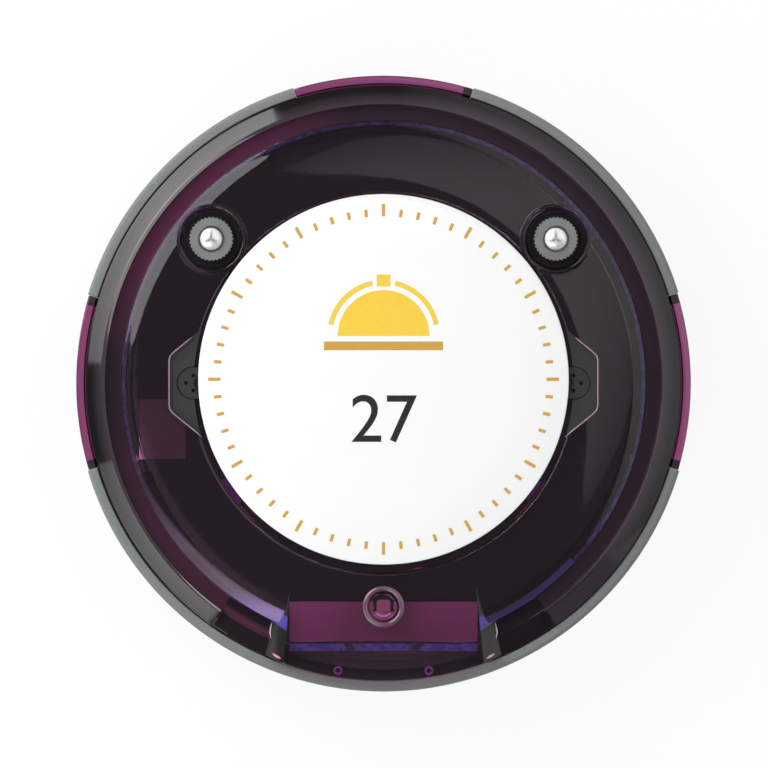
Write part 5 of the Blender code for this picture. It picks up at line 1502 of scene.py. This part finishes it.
def carried_finishes():
    """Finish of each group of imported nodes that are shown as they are."""
    brass = worn_metal("brass seat", (0.70, 0.52, 0.24), 0.3)
    can = worn_metal("nickelled can", (0.62, 0.62, 0.63), 0.22)
    epoxy = chip_epoxy("chip epoxy")
    socket = moulded_plastic("ivory socket", (0.72, 0.68, 0.56), 0.42)
    return {
        "inner_frame": frame_plastic("black frame plastic"),
        "number_plate": strip_plastic("number strip", (0.165, 0.065, 0.12)),
        "light_guide": guide_plastic("violet light pipe", (0.07, 0.115, 0.30)),
        "circuit_board": board_lacquer("green board"),
        "main_chip": epoxy,
        "radio_chip": epoxy,
        "key_switch": epoxy,
        "buzzer": moulded_plastic("buzzer case", (0.02, 0.02, 0.021), 0.45),
        "crystal": can,
        "vibration_motor": can,
        "antenna": worn_metal("copper wire", (0.72, 0.36, 0.20), 0.25),
        "battery": battery_foil("battery pouch"),
        "battery_socket": socket,
        "switch_plunger": socket,
        "battery_lead_red": wire_jacket("red lead", (0.60, 0.03, 0.03)),
        "motor_lead_red": wire_jacket("red motor lead", (0.60, 0.03, 0.03)),
        "battery_lead_black": wire_jacket("black lead", (0.02, 0.02, 0.02)),
        "motor_lead_black": wire_jacket("black motor lead", (0.02, 0.02, 0.02)),
        "case_seal": black_rubber("motor rubber"),
        "motor_boot": moulded_plastic("boot rubber", (0.045, 0.03, 0.04), 0.55),
        "motor_shaft": worn_metal("spring steel", (0.55, 0.55, 0.57), 0.25),
        "motor_weight": worn_metal("sintered weight", (0.42, 0.41, 0.40), 0.42),
        "contact_seat_left": brass,
        "contact_seat_right": brass,
        "led_top": led_lens("led lens"),
        "vent_membrane_left": membrane_cloth("vent membrane"),
    }


ALIKE = {
    "led_left": "led_top",
    "led_right": "led_top",
    "led_number": "led_top",
    "vent_membrane_right": "vent_membrane_left",
}


class PAGER_OT_inside(bpy.types.Operator):
    """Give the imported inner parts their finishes"""

    bl_idname = "pager.inside"
    bl_label = "Inner parts"

    def execute(self, context):
        finishes = carried_finishes()
        for name, other in ALIKE.items():
            finishes[name] = finishes[other]
        for name, finish in finishes.items():
            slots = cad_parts[name].material_slots
            if not slots:
                raise RuntimeError(f"{name} has no material slot")
            for slot in slots:
                slot.material = finish
        return {"FINISHED"}


class PAGER_OT_film(bpy.types.Operator):
    """Model the film over the motor and the marks that show beside the label and the strip"""

    bl_idname = "pager.film"
    bl_label = "Films and marks"

    def execute(self, context):
        film = slab("motor_film", [
            (-38.4, -12.2), (-31.9, -12.2), (-31.9, -2.6), (-39.2, -2.6), (-39.2, -9.3), (-38.9, -10.5),
        ], *LAYER_LEVELS)
        settle(film, "pager", [moulded_plastic("frosted film", (0.034, 0.028, 0.028), 0.6)])
        violet = printing_ink("violet slit", (0.06, 0.03, 0.24))
        red = printing_ink("red slit", (0.20, 0.03, 0.05))
        slits = {
            "violet_slits": (violet, [(29.75, 30.3, 211, 220), (29.75, 30.2, 321, 328)]),
            "red_slits": (red, [(30.42, 30.6, 211, 227), (30.42, 30.6, 314, 329), (30.3, 30.6, 279, 282)]),
        }
        for name, (ink, arcs) in slits.items():
            marks = merged([
                slab(f"{name} {i}", ring_sector(*arc, 16), *LAYER_LEVELS) for i, arc in enumerate(arcs)
            ], name)
            settle(marks, "pager", [ink])
        dark = moulded_plastic("pipe clip", (0.015, 0.010, 0.02), 0.4)
        for side in SIDES:
            clip = slab(f"pipe_clip_{side}", [
                (side * 4.45, -43.15), (side * 5.6, -43.15), (side * 6.6, -41.8), (side * 5.3, -41.8),
            ], *CLIP_LEVELS)
            settle(clip, "pager", [dark])
        bed = box_slab("pipe_bed", (-15.1, -43.47, 13.0), (15.1, -43.22, 15.9))
        settle(bed, "pager", [dark])
        return {"FINISHED"}


class PAGER_OT_beads(bpy.types.Operator):
    """Model the pale beads round the lugs and along the feet of the number window, and the two rim glints,
    all painted highlights
    """

    bl_idname = "pager.beads"
    bl_label = "Polished beads"

    def execute(self, context):
        # painted highlights: pale beads and lens shapes stand in for glints on the lug edges, the window's
        # feet and the rim
        painted_highlight = moulded_plastic("polished bead", (0.33, 0.25, 0.28), 0.2, 1.5, 0.004, 0.5)
        bright = moulded_plastic("bright painted highlight bead", (0.55, 0.40, 0.46), 0.2, 1.5, 0.004, 0.5)
        pink = moulded_plastic("pink painted highlight bead", (0.62, 0.20, 0.36), 0.2, 1.5, 0.004, 0.5)
        for side in SIDES:
            self.bead(f"lug_bead_{side}", [
                (side * x, y) for x, y in [
                    (29.3, -8.75), (30.4, -7.75), (31.7, -6.75), (33.9, -4.95), (34.45, -4.3), (34.6, -3.6),
                    (34.6, 3.6), (34.45, 4.3), (33.9, 4.95), (31.7, 6.75), (30.9, 7.4),
                ]
            ], 0.25, RECESS_Z, RECESS_Z + 0.55, painted_highlight)
            self.bead(f"foot_bead_{side}", [
                (side * 18.02, -38.7), (side * 18.25, -39.6), (side * 18.34, -40.4), (side * 18.1, -41.6),
            ], 0.26, GROOVE_Z + 0.02, GROOVE_Z + 0.3, bright)
            lens = [
                (18.0, -43.65), (17.6, -43.75), (17.0, -44.05), (16.5, -44.5), (17.1, -44.45), (17.7, -44.1),
            ]
            heights = [PAD_Z - (x - pad_half_width(y)) for x, y in lens]
            glint = loft(
                f"rim_glint_{side}",
                [(side * x, y, height - 0.3) for (x, y), height in zip(lens, heights)],
                [(side * x, y, height + 0.05) for (x, y), height in zip(lens, heights)],
            )
            settle(glint, "pager", [pink if side < 0 else bright])
        return {"FINISHED"}

    def bead(self, name, line, width, low, high, finish):
        """Bead of a width in millimetres along a line, tapered at both ends."""
        left, right = [], []
        last = len(line) - 1
        for i, (x, y) in enumerate(line):
            before = Vector(line[max(i - 1, 0)])
            after = Vector(line[min(i + 1, last)])
            along = (after - before).normalized()
            half = width / 2 * (0.3 if i in (0, last) else 1.0)
            left.append((x - along.y * half, y + along.x * half))
            right.append((x + along.y * half, y - along.x * half))
        piece = slab(name, left + right[::-1], low, high)
        soften(piece, 0.06, 2, 60.0)
        settle(piece, "pager", [finish], angle=60.0)


class PAGER_OT_screws(bpy.types.Operator):
    """Model the case screws"""

    bl_idname = "pager.screws"
    bl_label = "Case screws"

    def execute(self, context):
        steel = worn_metal("zinc screw", (0.50, 0.50, 0.50), 0.3)
        angles = {1: 45, 2: 135, 3: 225, 4: 315}
        for number, angle in angles.items():
            place = at_angle(SCREW_CIRCLE_RADIUS, angle)
            screw = turn(f"screw_{number}", [
                (0.0, 3.9), (1.7, 3.9), *arc_points((1.7, 4.3), 0.4, 270, 360, 4), (2.1, 5.1), (2.0, 5.2),
                (1.0, 5.2), (1.0, 15.6), (0.8, 15.8), (0.0, 15.8),
            ], place, 32)
            x, y = place
            for wide, narrow in ((1.3, 0.3), (0.3, 1.3)):
                cut(screw, box_slab("slot", (x - wide, y - narrow, 3.0), (x + wide, y + narrow, 4.6)))
            settle(screw, "pager", [steel], [f"case_screw_{number}"])
        return {"FINISHED"}


class PAGER_OT_pegs(bpy.types.Operator):
    """Model the violet sleeves round the bumper pegs, and violet rings above the two front pegs as painted
    highlights
    """

    bl_idname = "pager.pegs"
    bl_label = "Peg sleeves"

    def execute(self, context):
        violet = printing_ink("violet sleeve", (0.24, 0.05, 0.30))
        for angles in PEG_ANGLES.values():
            for angle in angles:
                sleeve = turn(f"peg_sleeve_{angle}", [
                    (0.38, 9.45), (0.62, 9.45), (0.62, 10.75), (0.5, 10.85), (0.38, 10.75),
                ], at_angle(PEG_CIRCLE_RADIUS, angle), 24)
                settle(sleeve, "pager", [violet])
        # painted highlights: violet rings stand in for ring highlights above the two front pegs
        for angle in (261, 279):
            ring = turn(f"peg_mark_{angle}", [
                (0.4, 15.5), (0.72, 15.5), (0.7, 15.74), *arc_points((0.56, 15.76), 0.14, 20, 160, 5),
                (0.42, 15.74),
            ], at_angle(PEG_CIRCLE_RADIUS - 0.35, angle), 32)
            settle(ring, "pager", [violet])
        return {"FINISHED"}


def add_panel(name, centre, aim, size, radiance, shape="RECTANGLE"):
    """Soft lamp of a width and a height in metres, at a place, facing an aim."""
    let_go()
    facing = Vector(aim) - Vector(centre)
    turned = facing.to_track_quat("-Z", "Y").to_euler()
    bpy.ops.object.light_add(type="AREA", location=centre, rotation=turned)
    lamp = bpy.context.active_object
    lamp.name = name
    lamp.data.shape = shape
    lamp.data.size = size[0]
    lamp.data.size_y = size[1]
    lamp.data.energy = radiance * size[0] * size[1] * 4.0
    lamp.visible_camera = False
    return lamp


def fade_sideways(lamp, stops):
    """Give a lamp's light other shares at the given places over its width, even in between."""
    light = Finish(lamp.name, lamp.data)
    spot = light.node("ShaderNodeNewGeometry", output="Parametric")
    across = light.node("ShaderNodeSeparateXYZ", None, {0: spot}, "X")
    shades = [(position, (share, share, share)) for position, share in stops]
    fade = light.node("ShaderNodeValToRGB", {"stops": shades}, {"Fac": across}, "Color")
    glow = light.node("ShaderNodeEmission", None, {"Strength": fade})
    light.node("ShaderNodeOutputLight", None, {"Surface": glow})


def wall_panel(name, azimuth, half_width, low_tilt, high_tilt, radiance, reach=0.55):
    """Upright soft box round an azimuth, between two angles from straight up."""
    bottom = reach / math.tan(math.radians(high_tilt))
    top = reach / math.tan(math.radians(low_tilt))
    x, y = at_angle(reach, azimuth)
    height = (top + bottom) / 2
    width = 2 * reach * math.tan(math.radians(half_width))
    return add_panel(name, (x, y, height), (0.0, 0.0, height), (width, top - bottom), radiance)


def disc_panel(name, azimuth, tilt, half_width, half_height, radiance, reach=0.6):
    """Round soft box at an azimuth and an angle from straight up, facing the pager."""
    x, y = at_angle(reach * math.sin(math.radians(tilt)), azimuth)
    place = (x, y, reach * math.cos(math.radians(tilt)))
    size = [2 * reach * math.tan(math.radians(angle)) for angle in (half_width, half_height)]
    return add_panel(name, place, (0.0, 0.0, 0.015), size, radiance, "ELLIPSE")


class PAGER_OT_stage(bpy.types.Operator):
    """Add the floor, the lamps, the room and the camera"""

    bl_idname = "pager.stage"
    bl_label = "Stage"

    def execute(self, context):
        stage = context.scene.pager_stage
        self.make_floor(stage)
        self.make_room(stage)
        level = stage.lamp_level
        left = wall_panel("left soft box", 144, 32, 53, 80, 6.9 * level)
        fade_sideways(left, [(0.0, 1.0), (0.45, 1.0), (0.75, 0.7), (1.0, 0.5)])
        disc_panel("left round box", 144, 44, 19, 15, 4.0 * level)
        front_left = wall_panel("front left soft box", 215, 19, 53, 78, 3.8 * level)
        fade_sideways(front_left, [(0.0, 0.6), (0.6, 1.0)])
        disc_panel("front round box", 242, 42, 14, 10, 6.0 * level)
        right = wall_panel("right soft box", 24, 62, 27, 88, 1.25 * level, 0.7)
        fade_sideways(right, [(0.0, 0.3), (0.3, 0.85), (0.5, 1.0), (0.7, 0.85), (1.0, 0.12)])
        x, y = at_angle(0.42, 42)
        ceiling = add_panel("ceiling soft box", (x, y, 1.2), (x, y, 0.0), (0.84, 0.6), 1.25 * level)
        ceiling.rotation_euler.z = math.radians(42 - 90)
        fade_sideways(ceiling, [(0.0, 0.3), (0.42, 1.0), (0.58, 1.0), (1.0, 0.3)])
        self.make_camera(context, stage)
        return {"FINISHED"}

    def make_floor(self, stage):
        let_go()
        bpy.ops.mesh.primitive_plane_add(size=8.0)
        floor = bpy.context.active_object
        floor.name = "floor"
        finish = Finish("pale floor")
        sweep_grain = finish.grain(180.0, 2.0)
        matte = finish.principled({
            "Base Color": finish.tint(sweep_grain, scaled(stage.floor, 0.98), stage.floor),
            "Roughness": 0.9,
            "Specular IOR Level": 0.0,
        })
        white = finish.node("ShaderNodeEmission", None, {"Color": (1.0, 1.0, 1.0, 1.0), "Strength": 1.0})
        camera, glossy, through, bounces = [
            finish.node("ShaderNodeLightPath", output=kind)
            for kind in ("Is Camera Ray", "Is Glossy Ray", "Is Transmission Ray", "Diffuse Depth")
        ]
        straight = 1.0 - finish.between(bounces, 0.0, 1.0)
        share = finish.between(camera + (glossy + through) * straight, 0.0, 1.0) * 0.91
        finish.done(finish.node("ShaderNodeMixShader", None, {0: share, 1: matte, 2: white}))
        floor.data.materials.append(finish.material)

    def make_room(self, stage):
        """Dim room that shows in the shell, and white where the camera sees it straight or through glass."""
        world = bpy.data.worlds.new("dim room")
        bpy.context.scene.world = world
        room = Finish("dim room", world)
        diffuse, glossy, through, camera = [
            room.node("ShaderNodeLightPath", output=kind)
            for kind in ("Diffuse Depth", "Glossy Depth", "Is Transmission Ray", "Is Camera Ray")
        ]
        straight = room.node("ShaderNodeMath", {"operation": "LESS_THAN"}, {0: diffuse + glossy, 1: 0.5})
        seen = room.node("ShaderNodeMath", {"operation": "MAXIMUM"}, {0: camera, 1: through * straight})
        shade = {"Color": (1.0, 1.0, 1.0, 1.0)}
        dim = room.node("ShaderNodeBackground", None, {**shade, "Strength": stage.room_level})
        white = room.node("ShaderNodeBackground", None, shade)
        mix = room.node("ShaderNodeMixShader", None, {0: seen, 1: dim, 2: white})
        room.node("ShaderNodeOutputWorld", None, {"Surface": mix})

    def make_camera(self, context, stage):
        let_go()
        height = 15.4 * MM + stage.distance
        bpy.ops.object.camera_add(location=(0.08 * MM, -0.16 * MM, height), rotation=(0.0, 0.0, 0.0))
        camera = bpy.context.active_object
        camera.name = "photo camera"
        camera.data.sensor_width = 36.0
        camera.data.lens = 36.0 * stage.distance / stage.field
        camera.data.clip_start = 0.01
        context.scene.camera = camera


class PAGER_PT_pieces(bpy.types.Panel):
    """Pieces of the pager and their sizes"""

    bl_idname = "PAGER_PT_pieces"
    bl_label = "Guest pager"
    bl_space_type = "VIEW_3D"
    bl_region_type = "UI"
    bl_category = "Pager"

    def draw(self, context):
        scene = context.scene
        for title, group in GROUPS.items():
            column = self.layout.column(align=True)
            column.label(text=title)
            for key in group.__annotations__:
                column.prop(getattr(scene, "pager_" + title.lower()), key)
        for piece in PIECES:
            self.layout.operator(piece.bl_idname)


GROUPS = {
    "Shell": PagerShell,
    "Rim": PagerRim,
    "Label": PagerLabel,
    "Contacts": PagerContacts,
    "Stage": PagerStage,
}
PIECES = (
    PAGER_OT_cover, PAGER_OT_case, PAGER_OT_rim, PAGER_OT_foot, PAGER_OT_label, PAGER_OT_contacts,
    PAGER_OT_key, PAGER_OT_film, PAGER_OT_beads, PAGER_OT_screws, PAGER_OT_pegs, PAGER_OT_inside,
    PAGER_OT_stage,
)


def register():
    for kind in (*GROUPS.values(), *PIECES, PAGER_PT_pieces):
        bpy.utils.register_class(kind)
    for title, group in GROUPS.items():
        setattr(bpy.types.Scene, "pager_" + title.lower(), bpy.props.PointerProperty(type=group))


def unregister():
    for title in GROUPS:
        delattr(bpy.types.Scene, "pager_" + title.lower())
    for kind in reversed((*GROUPS.values(), *PIECES, PAGER_PT_pieces)):
        bpy.utils.unregister_class(kind)


def main():
    """Make every piece and the stage."""
    register()
    bpy.context.scene.view_settings.view_transform = "Standard"
    bpy.ops.pager.cover()
    bpy.ops.pager.case()
    bpy.ops.pager.rim()
    bpy.ops.pager.foot()
    bpy.ops.pager.label()
    bpy.ops.pager.contacts()
    bpy.ops.pager.key()
    bpy.ops.pager.film()
    bpy.ops.pager.beads()
    bpy.ops.pager.screws()
    bpy.ops.pager.pegs()
    bpy.ops.pager.inside()
    bpy.ops.pager.stage()
    let_go()


if __name__ == "__main__":
    main()
